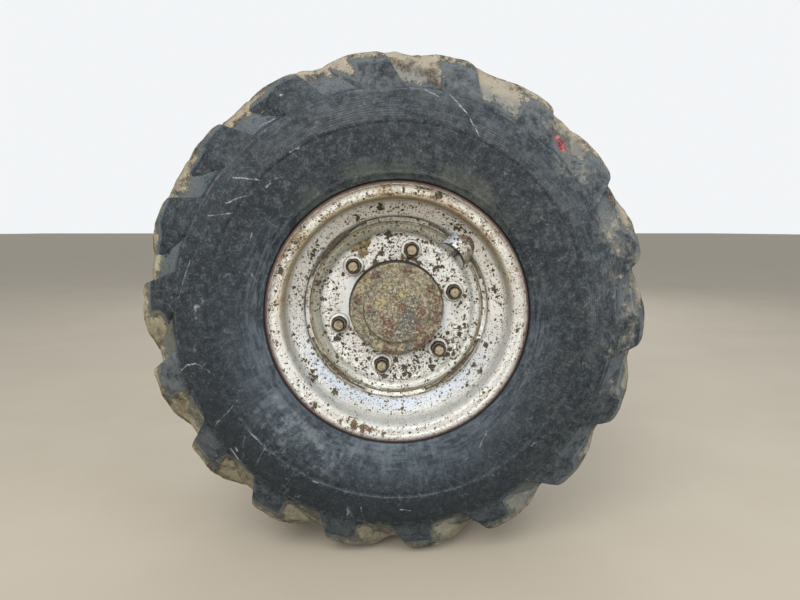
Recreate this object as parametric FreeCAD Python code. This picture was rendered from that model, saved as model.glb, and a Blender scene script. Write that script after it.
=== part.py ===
# Front wheel of a site dumper: lugged tyre on a one-piece steel wheel, planetary hub,
# and the axle arm that carries it.
# Millimetres. The wheel turns about the Y axis, its outer face towards -Y, +Z up.
# The origin is the centre of the arm's inboard flange face, where the arm is bolted on.
# A depth is measured inboard along the axle from the lip of the rim's outer flange.
# A clock angle is in degrees, clockwise from the top as seen from the outer side.

import FreeCAD, Part
import math
import os

from FreeCAD import Vector

os.makedirs("parts", exist_ok=True)

axle = Vector(0, 1, 0)
centre = Vector(0, 0, 0)

# Place of the wheel on its axle
lip_to_flange = 560.0        # rim's outer lip to the arm's flange face
seat_gap = 0.3               # between pieces that seat on each other along curves
running_gap = 0.05           # radial, shaft in its bore
axial_gap = 6.0              # between turning and fixed end faces

# Rim, 13.00 x 20 with one-piece wide base
bead_seat_radius = 254.0
rim_width = 330.2            # between the flanges' tyre sides
flange_height = 25.4
flange_curl = 15.9           # from a flange's tyre side out to its lip
rim_wall = 7.0
seat_length = 60.0
seat_taper = 4.0             # drop of the seat over its length
well_radius = 208.0          # inside of the well
well_slope_length = 28.0
curl_bend = 10.0
heel_bend = 8.0
slope_bend = 16.0

# Disc, pressed from a squared blank and welded into the well
disc_depth = 122.0           # outer face of the bolting flat
disc_wall = 12.0
disc_flat_radius = 172.0
crest_radius = 188.0         # middle of the raised ring round the flat
crest_rise = 15.0
skirt_length = 26.0
blank_half_width = 196.0     # centre to each straight side of the blank
first_blank_side = 46.0      # clock angle of one straight side
weld_width = 9.0
weld_arc = 40.0

# Bolting of the wheel to its hub
stud_count = 6
stud_circle = 275.0
first_stud = 14.5
stud_diameter = 22.0
stud_hole_gap = 1.0
stud_past_nut = 7.0
stud_head_diameter = 34.0
stud_head_height = 9.0
nut_flats = 32.0
nut_height = 22.0
nut_chamfer = 2.0
seat_ring_diameter = 46.0
seat_ring_height = 5.0

# Hub and its cover
pilot_diameter = 220.5
pilot_length = 9.0
disc_bore_gap = 0.25
nose_diameter = 213.0
nose_length = 20.0           # in front of the disc's face
cover_thickness = 14.0
boss_diameter = 150.0
boss_height = 15.0
boss_draft = 4.0
cover_screw_count = 8
cover_screw_circle = 186.0
first_cover_screw = 15.0
screw_diameter = 10.0
screw_flats = 17.0
screw_head_height = 7.0
screw_reach = 20.0
plug_clock = 163.5
plug_diameter = 16.0
plug_height = 5.0
flange_past_studs = 29.5
hub_flange_thickness = 22.0
body_past_studs = 8.5
hub_tail_diameter = 226.0
hub_length = 116.0           # from the disc's back to the inboard end
seal_bore_diameter = 184.0
seal_bore_depth = 16.0

# Spindle and half shaft
spindle_diameter = 120.0
spindle_bore = 64.0
spindle_length = 78.0        # inside the hub
spindle_collar_diameter = 160.0
spindle_collar_length = 22.0
spindle_pilot_diameter = 116.0
spindle_pilot_length = 38.0
shaft_diameter = 44.0
shaft_journal_length = 28.0
shaft_end = 62.0             # past the arm's flange
spline_diameter = 50.0
spline_length = 70.0
spline_count = 18
spline_depth = 3.0

# Arm
arm_collar_diameter = 212.0
arm_collar_length = 26.0
arm_neck_diameter = 172.0
arm_bore_diameter = 100.0
arm_flange_diameter = 320.0
arm_flange_thickness = 24.0
arm_bolt_count = 12
arm_bolt_hole = 15.0
bolts_from_edge = 17.5       # flange's edge to its bolt circle
root_from_bolts = 30.5       # bolt circle to the arm's root
arm_scallop = 26.0
scallop_past_edge = 6.0      # flange's edge to a scallop's middle
web_thickness = 16.0
web_from_edge = 32.0         # flange's edge to the top of a web
shaft_seal_diameter = 124.0
shaft_seal_length = 14.0
pad_width = 170.0
pad_length = 116.0
pad_rise = 24.0              # above the arm's root
pad_corner = 12.0
pad_from_flange = 96.0       # flange face to the pad's middle
pad_hole = 17.5
pad_hole_depth = 34.0
pad_spacing_across = 120.0
pad_spacing_along = 76.0

# Valve and its guard
valve_clock = 46.5
valve_depth = 99.0
valve_diameter = 9.0
valve_base_diameter = 16.0
valve_reach = 34.0           # in front of the well
valve_inside = 26.0          # behind the well, in the tyre
valve_cap_diameter = 12.0
valve_cap_length = 12.0
guard_width = 76.0
guard_wall = 5.0
guard_inner_radius = 176.0   # radius on the wheel where its mouth opens

# Tyre, 405/70-20 pattern
tyre_radius = 548.0          # to the lug tips at the middle of the tread
shoulder_drop = 7.0          # from there to the lugs' outer corners
section_width = 410.0
widest_radius = 394.0
buttress_radius = 458.0      # lip below the grooves between the lugs
lug_depth = 42.0
shoulder_depth = 20.0        # depth of the lugs' outer corner from the rim's lip
shoulder_chamfer = 14.0
lug_count = 18               # on each side
first_lug = 14.5
lug_draft = 7.0
tyre_wall = 18.0
bead_width = 38.0

rim_overall = rim_width + 2 * flange_curl
middle = rim_overall / 2
disc_back = disc_depth + disc_wall
nut_seat = disc_depth - seat_ring_height
nut_face = nut_seat - nut_height
nose_face = disc_depth - nose_length
cover_face = nose_face - cover_thickness
hub_end = disc_back + hub_length
spindle_shoulder = hub_end - seal_bore_depth + axial_gap
arm_start = spindle_shoulder + spindle_collar_length
stud_radius = stud_diameter / 2
hub_flange_diameter = stud_circle + 2 * flange_past_studs
hub_body_diameter = stud_circle + 2 * body_past_studs
arm_bolt_circle = arm_flange_diameter - 2 * bolts_from_edge
arm_root_diameter = arm_bolt_circle - 2 * root_from_bolts
pad_height = arm_root_diameter / 2 + pad_rise
shoulder_radius = tyre_radius - shoulder_drop
groove_radius = tyre_radius - lug_depth
far = 2 * tyre_radius        # a length past everything


def at(depth):
    """Y of a depth."""
    return depth - lip_to_flange


def spot(radius, clock, depth):
    """A point given by its radius from the axle, clock angle and depth."""
    angle = math.radians(clock)
    return Vector(radius * math.sin(angle), at(depth), radius * math.cos(angle))


def turned(shape, clock):
    """A copy turned clockwise about the axle."""
    copy = shape.copy()
    copy.rotate(centre, axle, clock)
    return copy


def pattern(shape, count, first=0.0):
    """Copies evenly spaced round the axle, made from one at the top."""
    return [turned(shape, first + 360.0 * i / count) for i in range(count)]


def rod(diameter, start, end, radius=0.0, clock=0.0):
    """A round bar along the axle, between two depths."""
    return Part.makeCylinder(diameter / 2, end - start, spot(radius, clock, start), axle)


def hexagon(flats, start, end, radius=0.0):
    """A hexagonal bar along the axle, at the top of its circle."""
    corner = flats / math.sqrt(3)
    points = [Vector(corner * math.cos(math.radians(60 * i)), at(start),
                     radius + corner * math.sin(math.radians(60 * i))) for i in range(7)]
    return Part.Face(Part.makePolygon(points)).extrude(axle * (end - start))


def rounded(points, radii):
    """Edges through (radius, depth) points, each inner corner rounded by its radius."""
    spots = [Vector(p[0], at(p[1]), 0) for p in points]
    edges = []
    start = spots[0]
    for i in range(1, len(spots)):
        end = spots[i]
        bend = radii[i] if i < len(spots) - 1 else 0
        if bend:
            back = (spots[i - 1] - end).normalize()
            onward = (spots[i + 1] - end).normalize()
            half = back.getAngle(onward) / 2
            reach = bend / math.tan(half)
            first = end + back * reach
            last = end + onward * reach
            inward = (back + onward).normalize()
            top = end + inward * (bend / math.sin(half) - bend)
            edges.append(Part.makeLine(start, first))
            edges.append(Part.Arc(first, top, last).toShape())
            start = last
        else:
            edges.append(Part.makeLine(start, end))
            start = end
    return edges


def lathe(points, radii=None):
    """A solid turned about the axle from a closed outline of (radius, depth) points."""
    closed = list(points) + [points[0]]
    bends = list(radii or [0] * len(points)) + [0]
    wire = Part.Wire(rounded(closed, bends))
    return Part.Face(wire).revolve(centre, axle, 360)


def beside(points, radii, offset):
    """An open path moved sideways, to its left for a positive offset, with its bends."""
    lines = []
    for a, b in zip(points, points[1:]):
        length = math.hypot(b[0] - a[0], b[1] - a[1])
        along = ((b[0] - a[0]) / length, (b[1] - a[1]) / length)
        side = (-along[1] * offset, along[0] * offset)
        lines.append(((a[0] + side[0], a[1] + side[1]), along, (b[0] + side[0], b[1] + side[1])))
    moved = [lines[0][0]]
    bends = [0]
    for i in range(1, len(lines)):
        (p, u, _), (q, v, _) = lines[i - 1], lines[i]
        cross = u[0] * v[1] - u[1] * v[0]
        share = ((q[0] - p[0]) * v[1] - (q[1] - p[1]) * v[0]) / cross
        moved.append((p[0] + u[0] * share, p[1] + u[1] * share))
        bends.append(radii[i] - offset if cross > 0 else radii[i] + offset)
    moved.append(lines[-1][2])
    bends.append(0)
    return moved, bends


def plate(points, radii, wall):
    """Closed outline of a plate of one thickness whose middle follows a path."""
    left, left_bends = beside(points, radii, wall / 2)
    right, right_bends = beside(points, radii, -wall / 2)
    return left + right[::-1], left_bends + right_bends[::-1]


def grown(plan, amount):
    """A closed outline with each wall moved out by an amount."""
    out = []
    count = len(plan)
    for i in range(count):
        a, b, c = plan[i - 1], plan[i], plan[(i + 1) % count]
        first = math.hypot(b[0] - a[0], b[1] - a[1])
        second = math.hypot(c[0] - b[0], c[1] - b[1])
        u = ((b[0] - a[0]) / first, (b[1] - a[1]) / first)
        v = ((c[0] - b[0]) / second, (c[1] - b[1]) / second)
        cross = u[0] * v[1] - u[1] * v[0]
        p = (b[0] + u[1] * amount, b[1] - u[0] * amount)
        q = (b[0] + v[1] * amount, b[1] - v[0] * amount)
        if abs(cross) < 1e-9:
            out.append(p)
        else:
            share = ((q[0] - p[0]) * v[1] - (q[1] - p[1]) * v[0]) / cross
            out.append((p[0] + u[0] * share, p[1] + u[1] * share))
    return out


def outline(plan, height):
    """A plan on the tread, spread out flat from the axle at one height above it."""
    return [Vector(height * math.tan(u / tyre_radius), at(d), height) for u, d in plan]


def block(foot, top):
    """A solid between two flat outlines, each wall folded along its diagonal."""
    faces = [Part.Face(Part.makePolygon(points + points[:1])) for points in (foot, top)]
    for i in range(len(foot)):
        a, b, c, d = foot[i - 1], foot[i], top[i], top[i - 1]
        faces.append(Part.Face(Part.makePolygon([a, b, c, a])))
        faces.append(Part.Face(Part.makePolygon([a, c, d, a])))
    return Part.makeSolid(Part.makeShell(faces))


def from_axle(shape):
    """Distance of a shape's middle from the axle."""
    return math.hypot(shape.CenterOfMass.x, shape.CenterOfMass.z)


def save(name, *solids):
    """Write one piece, of one or more solids."""
    shape = solids[0] if len(solids) == 1 else Part.makeCompound(list(solids))
    shape.exportStep("parts/" + name + ".step")
    print(name, len(shape.Solids), "valid" if shape.isValid() else "NOT VALID",
          round(shape.Volume / 1e6, 3), "litres")


# Rim: lip, flange wall, bead seat, slope and well, and the same again inboard
flange_middle = flange_curl - rim_wall / 2
seat_middle = bead_seat_radius - rim_wall / 2
well_middle = well_radius + rim_wall / 2
seat_end = flange_curl + seat_length
outer_half = [
    (bead_seat_radius + flange_height - rim_wall / 2, 0, 0),
    (bead_seat_radius + flange_height - rim_wall / 2 - 1, flange_middle, curl_bend),
    (seat_middle, flange_middle, heel_bend),
    (seat_middle - seat_taper, seat_end, slope_bend),
    (well_middle, seat_end + well_slope_length, slope_bend),
]
inner_half = [(r, rim_overall - d, bend) for r, d, bend in reversed(outer_half)]
rim_path = [(r, d) for r, d, bend in outer_half + inner_half]
rim_bends = [bend for r, d, bend in outer_half + inner_half]
rim_blank = lathe(*plate(rim_path, rim_bends, rim_wall))
valve_hole = Part.makeCylinder(valve_diameter / 2 + running_gap, far,
                               spot(well_radius - rim_wall, valve_clock, valve_depth),
                               spot(1, valve_clock, 0) - spot(0, 0, 0))
rim = rim_blank.cut(valve_hole)
save("rim", rim)

# Disc: flat, raised ring and a skirt turned inboard into the well; the blank's straight
# sides leave four crescent openings beside the well
crest = disc_depth - crest_rise
skirt_middle = well_radius - disc_wall / 2
disc_path = [
    (pilot_diameter / 2 + disc_bore_gap, disc_depth + disc_wall / 2, 0),
    (disc_flat_radius, disc_depth + disc_wall / 2, 12),
    (crest_radius - 4, crest + disc_wall / 2, 9),
    (skirt_middle, crest + disc_wall / 2 + 1, 10),
    (skirt_middle, crest + disc_wall / 2 + skirt_length, 0),
]
disc_points, disc_bends = plate([(r, d) for r, d, bend in disc_path],
                                [bend for r, d, bend in disc_path], disc_wall)
disc_round = lathe(disc_points, disc_bends)
side = 2 * blank_half_width
blank = Part.makeBox(side, 2 * far, side, Vector(-side / 2, at(disc_depth) - far, -side / 2))
disc = disc_round.common(turned(blank, first_blank_side))
stud_hole = rod(stud_diameter + 2 * stud_hole_gap, disc_depth - 5, disc_back + 5, stud_circle / 2)
for hole in pattern(stud_hole, stud_count, first_stud):
    disc = disc.cut(hole)
save("wheel_disc", disc)

# Welds: one fillet along each corner of the blank, between the skirt's shoulder and the well
weld_top = crest - 1
weld_outline = [
    (well_radius, weld_top - 2),
    (well_radius, crest + disc_wall / 2),
    (well_radius - weld_width, crest + disc_wall / 2),
    (well_radius - weld_width, weld_top + 1),
]
weld_ring = lathe(weld_outline, [0, 0, 0, 3])
wedge = Part.Face(Part.makePolygon([
    spot(0, 0, 0),
    spot(far, -weld_arc / 2, 0),
    spot(far, weld_arc / 2, 0),
    spot(0, 0, 0)])).extrude(axle * far)
weld = weld_ring.common(turned(wedge, first_blank_side + 45)).cut(disc_round)
welds = pattern(weld, 4)
save("disc_welds", *[s for w in welds for s in w.Solids])

# Hub: pilot and nose through the disc, bolting flange, body and the bore for the spindle
nose_radius = nose_diameter / 2
tail_bend = 12
spindle_end = spindle_shoulder - spindle_length
hub_outline = [
    (0, nose_face, 0),
    (nose_radius, nose_face, 2),
    (nose_radius, disc_back - pilot_length, 0),
    (pilot_diameter / 2, disc_back - pilot_length, 0),
    (pilot_diameter / 2, disc_back, 0),
    (hub_flange_diameter / 2, disc_back, 3),
    (hub_flange_diameter / 2, disc_back + hub_flange_thickness, 3),
    (hub_body_diameter / 2 - 12, disc_back + hub_flange_thickness, 8),
    (hub_body_diameter / 2 - 16, disc_back + hub_flange_thickness + 34, tail_bend),
    (hub_tail_diameter / 2, disc_back + hub_flange_thickness + 52, tail_bend),
    (hub_tail_diameter / 2, hub_end, 2),
    (seal_bore_diameter / 2, hub_end, 0),
    (seal_bore_diameter / 2, hub_end - seal_bore_depth, 0),
    (spindle_diameter / 2 + running_gap, hub_end - seal_bore_depth, 0),
    (spindle_diameter / 2 + running_gap, spindle_end - axial_gap, 0),
    (shaft_diameter / 2 + running_gap, spindle_end - axial_gap, 0),
    (shaft_diameter / 2 + running_gap, spindle_end - axial_gap - shaft_journal_length - 2, 0),
    (0, spindle_end - axial_gap - shaft_journal_length - 2, 0),
]
hub = lathe([(r, d) for r, d, bend in hub_outline], [bend for r, d, bend in hub_outline])
flange_end = disc_back + hub_flange_thickness
press_hole = rod(stud_diameter, disc_back - 1, flange_end + 1, stud_circle / 2)
head_seat = rod(stud_head_diameter + 2, flange_end, flange_end + 60, stud_circle / 2)
for cutter in (press_hole, head_seat):
    for hole in pattern(cutter, stud_count, first_stud):
        hub = hub.cut(hole)
screw_hole = rod(screw_diameter + 2 * running_gap, nose_face - 1, nose_face + screw_reach + 3,
                 cover_screw_circle / 2)
for hole in pattern(screw_hole, cover_screw_count, first_cover_screw):
    hub = hub.cut(hole)
save("hub", hub)

# Cover of the hub's gears, with a raised boss
cover_outline = [
    (0, nose_face, 0),
    (nose_radius, nose_face, 0),
    (nose_radius, cover_face, 3),
    (boss_diameter / 2 + boss_draft, cover_face, 4),
    (boss_diameter / 2, cover_face - boss_height, 4),
    (0, cover_face - boss_height, 0),
]
cover = lathe([(r, d) for r, d, bend in cover_outline], [bend for r, d, bend in cover_outline])
cover_hole = rod(screw_diameter + 1, cover_face - 1, nose_face + 1, cover_screw_circle / 2)
for hole in pattern(cover_hole, cover_screw_count, first_cover_screw):
    cover = cover.cut(hole)
plug_hole = rod(plug_diameter - 4, cover_face - 1, cover_face + 10, cover_screw_circle / 2, plug_clock)
cover = cover.cut(plug_hole)
save("hub_cover", cover)

# Screws of the cover and its level plug
screw = hexagon(screw_flats, cover_face - screw_head_height, cover_face, cover_screw_circle / 2)
screw = screw.fuse(rod(screw_diameter, cover_face, nose_face + screw_reach, cover_screw_circle / 2))
save("cover_screws", *pattern(screw.removeSplitter(), cover_screw_count, first_cover_screw))
plug = rod(plug_diameter, cover_face - plug_height, cover_face, cover_screw_circle / 2, plug_clock)
plug = plug.fuse(rod(plug_diameter - 4, cover_face, cover_face + 9, cover_screw_circle / 2, plug_clock))
save("level_plug", plug.removeSplitter())

# Studs pressed into the hub flange, their seat rings and nuts
stud = rod(stud_diameter, nut_face - stud_past_nut, flange_end, stud_circle / 2)
stud = stud.fuse(rod(stud_head_diameter, flange_end, flange_end + stud_head_height, stud_circle / 2))
save("wheel_studs", *pattern(stud.removeSplitter(), stud_count, first_stud))
ring_outline = [
    (stud_radius + running_gap, disc_depth),
    (seat_ring_diameter / 2, disc_depth),
    (seat_ring_diameter / 2, disc_depth - 2.5),
    (seat_ring_diameter / 2 - 3, nut_seat),
    (stud_radius + running_gap, nut_seat),
]
seat_ring = Part.Face(Part.makePolygon(
    [Vector(r, at(d), stud_circle / 2) for r, d in ring_outline + ring_outline[:1]]))
seat_ring = seat_ring.revolve(Vector(0, 0, stud_circle / 2), axle, 360)
save("seat_rings", *pattern(seat_ring, stud_count, first_stud))
nut = hexagon(nut_flats, nut_face, nut_seat, stud_circle / 2)
nut_corner = nut_flats / math.sqrt(3)
nut_cone = Part.makeCone(nut_corner - nut_chamfer, nut_corner + nut_height, nut_height + nut_chamfer,
                         spot(stud_circle / 2, 0, nut_face), axle)
nut = nut.common(nut_cone)
nut = nut.cut(rod(stud_diameter + 2 * running_gap, nut_face - 1, nut_seat + 1, stud_circle / 2))
save("wheel_nuts", *pattern(nut, stud_count, first_stud))

# Valve: base in the rim's slope, stem and cap pointing at the hub
inward = spot(-1, valve_clock, 0) - spot(0, 0, 0)
stem_start = spot(well_radius + valve_inside, valve_clock, valve_depth)
stem = Part.makeCylinder(valve_diameter / 2, valve_inside + valve_reach - valve_cap_length,
                         stem_start, inward)
stem_base = Part.makeCylinder(valve_base_diameter / 2, valve_inside, stem_start, inward).cut(rim_blank)
stem_base = min(stem_base.Solids, key=from_axle)
stem = stem.fuse(stem_base).removeSplitter()
save("valve_stem", stem)
cap_start = spot(well_radius - valve_reach + valve_cap_length, valve_clock, valve_depth)
save("valve_cap", Part.makeCylinder(valve_cap_diameter / 2, valve_cap_length, cap_start, inward))

# Valve guard: half a tube lying on the disc, its mouth towards the hub
guard_length = bead_seat_radius - guard_inner_radius
guard_start = spot(guard_inner_radius, valve_clock, disc_depth)
outward = spot(1, valve_clock, 0) - spot(0, 0, 0)
guard = Part.makeCylinder(guard_width / 2, guard_length, guard_start, outward)
guard = guard.cut(Part.makeCylinder(guard_width / 2 - guard_wall, guard_length, guard_start, outward))
front = Part.makeBox(2 * far, far, 2 * far, Vector(-far, at(disc_depth) - far, -far))
guard = guard.common(front).cut(rim_blank).cut(disc_round)
guard = min([s for s in guard.Solids if s.Volume > 1000], key=from_axle)
save("valve_guard", guard)

# Tyre: hollow carcass with its beads on the rim
bulge = (section_width - rim_overall) / 2
bead_path, bead_bends = beside([(r, d) for r, d, bend in outer_half[:4]],
                               [bend for r, d, bend in outer_half[:4]],
                               -rim_wall / 2 - seat_gap)
lip_end, curl_corner, heel_corner, seat_edge = bead_path
bead_share = bead_width / (seat_edge[1] - heel_corner[1])
toe_radius = heel_corner[0] + (seat_edge[0] - heel_corner[0]) * bead_share
toe = (toe_radius, heel_corner[1] + bead_width)
sidewall = [
    (328, -bulge + 7),
    (widest_radius, -bulge),
    (buttress_radius, -bulge + 7),
    (buttress_radius + 28, 6),
    (groove_radius - 3, 50),
    (groove_radius, middle),
]
carcass_outside = [toe, heel_corner, curl_corner, lip_end] + sidewall
carcass_bends = [0, bead_bends[2], bead_bends[1]] + [0] * (len(sidewall) + 1)
carcass_inside = [
    (groove_radius - tyre_wall, middle),
    (groove_radius - tyre_wall - 4, 62),
    (widest_radius + 30, -bulge + 19),
    (328, -bulge + 25),
]
outside = carcass_outside[:-1] + [(r, 2 * middle - d) for r, d in reversed(carcass_outside[:-1])]
inside = [(r, 2 * middle - d) for r, d in reversed(carcass_inside[1:])] + carcass_inside[1:]
carcass = lathe(outside + inside, carcass_bends[:-1] + carcass_bends[-2::-1] + [0] * len(inside))

# Lugs: bars cut from a ring by flat walls, flaring on to the sidewall, staggered side to side
past_middle = 20.0
lug_root = 8.0
lug_band = [
    (buttress_radius - 2, -bulge + 6),
    (500, -bulge + 18),
    (shoulder_radius - shoulder_chamfer, shoulder_depth - 12),
    (shoulder_radius, shoulder_depth + 4),
    (tyre_radius, middle),
    (tyre_radius, middle + 2 * past_middle),
    (groove_radius - lug_root, middle + 2 * past_middle),
    (groove_radius - 16, 40),
    (buttress_radius - 4, -bulge + 12),
]
lug_ring = lathe(lug_band)
# plan of a bar at its top: (along the tread, depth), going round from the outer corner
lug_plan = [
    (-31, -40),
    (66, -40),
    (27, shoulder_depth),
    (-14, 58),
    (-79, 105),
    (-157, middle + past_middle),
    (-225, middle + past_middle),
    (-151, 105),
    (-101, 58),
    (-67, shoulder_depth + 4),
    (-31, shoulder_depth - 3),
]
lug_foot = buttress_radius - 28
lug_top = tyre_radius + 12
foot_growth = lug_draft * (shoulder_radius - lug_foot) / lug_depth
bar = block(outline(grown(lug_plan, foot_growth), lug_foot), outline(lug_plan, lug_top))
outer_lug = bar.common(lug_ring)
inner_lug = outer_lug.mirror(Vector(0, at(middle), 0), axle)
lugs = pattern(outer_lug, lug_count, first_lug)
lugs += pattern(inner_lug, lug_count, first_lug + 180.0 / lug_count)
tyre = carcass.fuse(lugs)
save("tyre", tyre)

# Spindle: bearing tube, seal collar and a pilot into the arm
spindle_outline = [
    (spindle_bore / 2, spindle_end),
    (spindle_diameter / 2, spindle_end),
    (spindle_diameter / 2, spindle_shoulder),
    (spindle_collar_diameter / 2, spindle_shoulder),
    (spindle_collar_diameter / 2, arm_start),
    (spindle_pilot_diameter / 2, arm_start),
    (spindle_pilot_diameter / 2, arm_start + spindle_pilot_length),
    (spindle_bore / 2, arm_start + spindle_pilot_length),
]
save("spindle", lathe(spindle_outline))

# Seal between the spindle's collar and the hub
seal_outline = [
    (spindle_collar_diameter / 2, spindle_shoulder),
    (seal_bore_diameter / 2 - seat_gap, spindle_shoulder),
    (seal_bore_diameter / 2 - seat_gap, hub_end + 2),
    (spindle_collar_diameter / 2, hub_end + 2),
]
save("hub_seal", lathe(seal_outline))

# Arm: collar, neck, flared root, scalloped flange, four webs and the chassis pad
arm_end = lip_to_flange
arm_outline = [
    (spindle_pilot_diameter / 2 + running_gap, arm_start, 0),
    (arm_collar_diameter / 2, arm_start, 4),
    (arm_collar_diameter / 2, arm_start + arm_collar_length, 6),
    (arm_neck_diameter / 2, arm_start + arm_collar_length + 14, 14),
    (arm_neck_diameter / 2, arm_start + 90, 60),
    (arm_root_diameter / 2, arm_end - arm_flange_thickness - 30, 18),
    (arm_root_diameter / 2, arm_end - arm_flange_thickness, 8),
    (arm_flange_diameter / 2, arm_end - arm_flange_thickness, 3),
    (arm_flange_diameter / 2, arm_end, 2),
    (shaft_seal_diameter / 2, arm_end, 0),
    (shaft_seal_diameter / 2, arm_end - shaft_seal_length, 0),
    (arm_bore_diameter / 2, arm_end - shaft_seal_length, 0),
    (arm_bore_diameter / 2, arm_start + spindle_pilot_length + 1, 0),
    (spindle_pilot_diameter / 2 + running_gap, arm_start + spindle_pilot_length + 1, 0),
]
arm = lathe([(r, d) for r, d, bend in arm_outline], [bend for r, d, bend in arm_outline])
web_start = arm_start + 8
web_end = arm_end - arm_flange_thickness / 2
web_foot = spindle_pilot_diameter / 2 + 12
web = Part.Face(Part.makePolygon([
    Vector(0, at(web_start), web_foot),
    Vector(0, at(web_start), arm_collar_diameter / 2 - 3),
    Vector(0, at(web_end), arm_flange_diameter / 2 - web_from_edge),
    Vector(0, at(web_end), web_foot),
    Vector(0, at(web_start), web_foot)]))
web = web.extrude(Vector(web_thickness, 0, 0))
web.translate(Vector(-web_thickness / 2, 0, 0))
for rib in pattern(web, 4, 45):
    arm = arm.fuse(rib)
pad_middle = arm_end - pad_from_flange
pad_foot = arm_bore_diameter / 2 + 10
pad = Part.makeBox(pad_width, pad_length, pad_height - pad_foot,
                   Vector(-pad_width / 2, at(pad_middle - pad_length / 2), pad_foot))
pad = pad.makeFillet(pad_corner, [e for e in pad.Edges if abs(e.tangentAt(e.FirstParameter).z) > 0.9])
arm = arm.fuse(pad)
for x in (-0.5, 0.5):
    for y in (-0.5, 0.5):
        hole = Part.makeCylinder(pad_hole / 2, pad_hole_depth + 1,
                                 Vector(x * pad_spacing_across,
                                        at(pad_middle + y * pad_spacing_along),
                                        pad_height - pad_hole_depth))
        arm = arm.cut(hole)
flange_hole = rod(arm_bolt_hole, arm_end - arm_flange_thickness - 5, arm_end + 1, arm_bolt_circle / 2)
for hole in pattern(flange_hole, arm_bolt_count, 180.0 / arm_bolt_count):
    arm = arm.cut(hole)
scallop = rod(arm_scallop, arm_end - arm_flange_thickness - 5, arm_end + 1,
              arm_flange_diameter / 2 + scallop_past_edge)
for notch in pattern(scallop, arm_bolt_count):
    arm = arm.cut(notch)
bore = rod(arm_bore_diameter, arm_start + spindle_pilot_length, arm_end + 1)
arm = arm.cut(bore).removeSplitter()
save("axle_arm", arm)

# Seal of the half shaft in the arm's mouth
shaft_seal_outline = [
    (shaft_diameter / 2 + running_gap, arm_end - shaft_seal_length),
    (shaft_seal_diameter / 2, arm_end - shaft_seal_length),
    (shaft_seal_diameter / 2, arm_end - 2),
    (shaft_diameter / 2 + running_gap, arm_end - 2),
]
save("shaft_seal", lathe(shaft_seal_outline))

# Half shaft: journal in the hub, plain shaft and the splined end past the flange
shaft_start = spindle_end - axial_gap - shaft_journal_length
spline_start = arm_end + shaft_end - spline_length + 14
shaft = rod(shaft_diameter, shaft_start, spline_start)
shaft = shaft.fuse(rod(spline_diameter, spline_start, arm_end + shaft_end))
groove = rod(2 * spline_depth, spline_start - 1, arm_end + shaft_end + 1, spline_diameter / 2)
for cutter in pattern(groove, spline_count):
    shaft = shaft.cut(cutter)
save("half_shaft", shaft.removeSplitter())
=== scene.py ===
import math

import bpy
import numpy as np
from mathutils import Euler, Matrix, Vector


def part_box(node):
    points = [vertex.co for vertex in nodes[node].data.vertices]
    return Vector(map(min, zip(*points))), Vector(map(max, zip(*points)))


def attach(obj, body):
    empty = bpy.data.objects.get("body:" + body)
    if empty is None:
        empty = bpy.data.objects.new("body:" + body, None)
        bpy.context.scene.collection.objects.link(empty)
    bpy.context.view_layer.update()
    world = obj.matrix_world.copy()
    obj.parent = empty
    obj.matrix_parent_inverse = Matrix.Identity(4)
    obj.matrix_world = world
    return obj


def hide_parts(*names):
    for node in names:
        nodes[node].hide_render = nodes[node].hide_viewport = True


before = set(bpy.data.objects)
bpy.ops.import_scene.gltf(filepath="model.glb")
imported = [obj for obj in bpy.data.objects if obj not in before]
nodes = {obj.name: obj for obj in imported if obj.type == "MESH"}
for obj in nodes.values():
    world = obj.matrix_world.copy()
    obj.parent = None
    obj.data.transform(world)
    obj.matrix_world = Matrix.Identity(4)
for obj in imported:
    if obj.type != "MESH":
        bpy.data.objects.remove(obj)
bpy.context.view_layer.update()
print("frame loaded:", len(nodes), "nodes")

# Places on the wheel: radius from the axle, clock angle in degrees clockwise from the top
# as seen from outside, and depth inboard from the rim's outer lip, lengths in millimetres
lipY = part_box("rim")[0].y * 1000
treadMiddle = (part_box("tyre")[0].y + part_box("tyre")[1].y) * 500 - lipY
dice = np.random.default_rng(21)
lattice = dice.random((32, 32, 32))


# rise: 0 up to low, 1 from low + wide on, straight between
def rise(value, low, wide):
    return np.clip((value - low) / wide, 0, 1)


# spot: (r sin a, lipY + depth, r cos a), taken to metres
def spot(radius, clock, depth):
    a = np.radians(clock)
    parts = np.broadcast_arrays(radius * np.sin(a), lipY + depth, radius * np.cos(a))
    return np.stack(parts, -1) * 0.001


# lumps: value noise from -1 to 1, a random lattice read with smooth steps, each octave at
# half the size and half the weight of the one before
def lumps(points, size, octaves=3, shift=0.0):
    total = np.zeros(points.shape[:-1])
    weight = 1.0
    for octave in range(octaves):
        q = points / size * 2.0 ** octave + 17.3 * octave + shift
        cell = np.floor(q).astype(int)
        f = q - cell
        f = f * f * (3 - 2 * f)
        for dx in (0, 1):
            for dy in (0, 1):
                for dz in (0, 1):
                    share = (np.abs(1 - dx - f[..., 0]) * np.abs(1 - dy - f[..., 1])
                             * np.abs(1 - dz - f[..., 2]))
                    corner = lattice[(cell[..., 0] + dx) % 32, (cell[..., 1] + dy) % 32,
                                     (cell[..., 2] + dz) % 32]
                    total += weight * share * (corner * 2 - 1)
        weight *= 0.5
    return total


# gridCells: each cell of a rows x columns grid as four corner numbers, closed round where asked
def gridCells(rows, columns, wrapRows, wrapColumns, start):
    i = np.arange(rows if wrapRows else rows - 1)[:, None]
    j = np.arange(columns if wrapColumns else columns - 1)[None, :]
    iNext, jNext = (i + 1) % rows, (j + 1) % columns
    cells = np.stack([i * columns + j, iNext * columns + j, iNext * columns + jNext,
                      i * columns + jNext], -1)
    return cells.reshape(-1, 4) + start


def placed(name, data):
    made = bpy.data.objects.new(name, data)
    bpy.context.scene.collection.objects.link(made)
    return made


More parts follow.
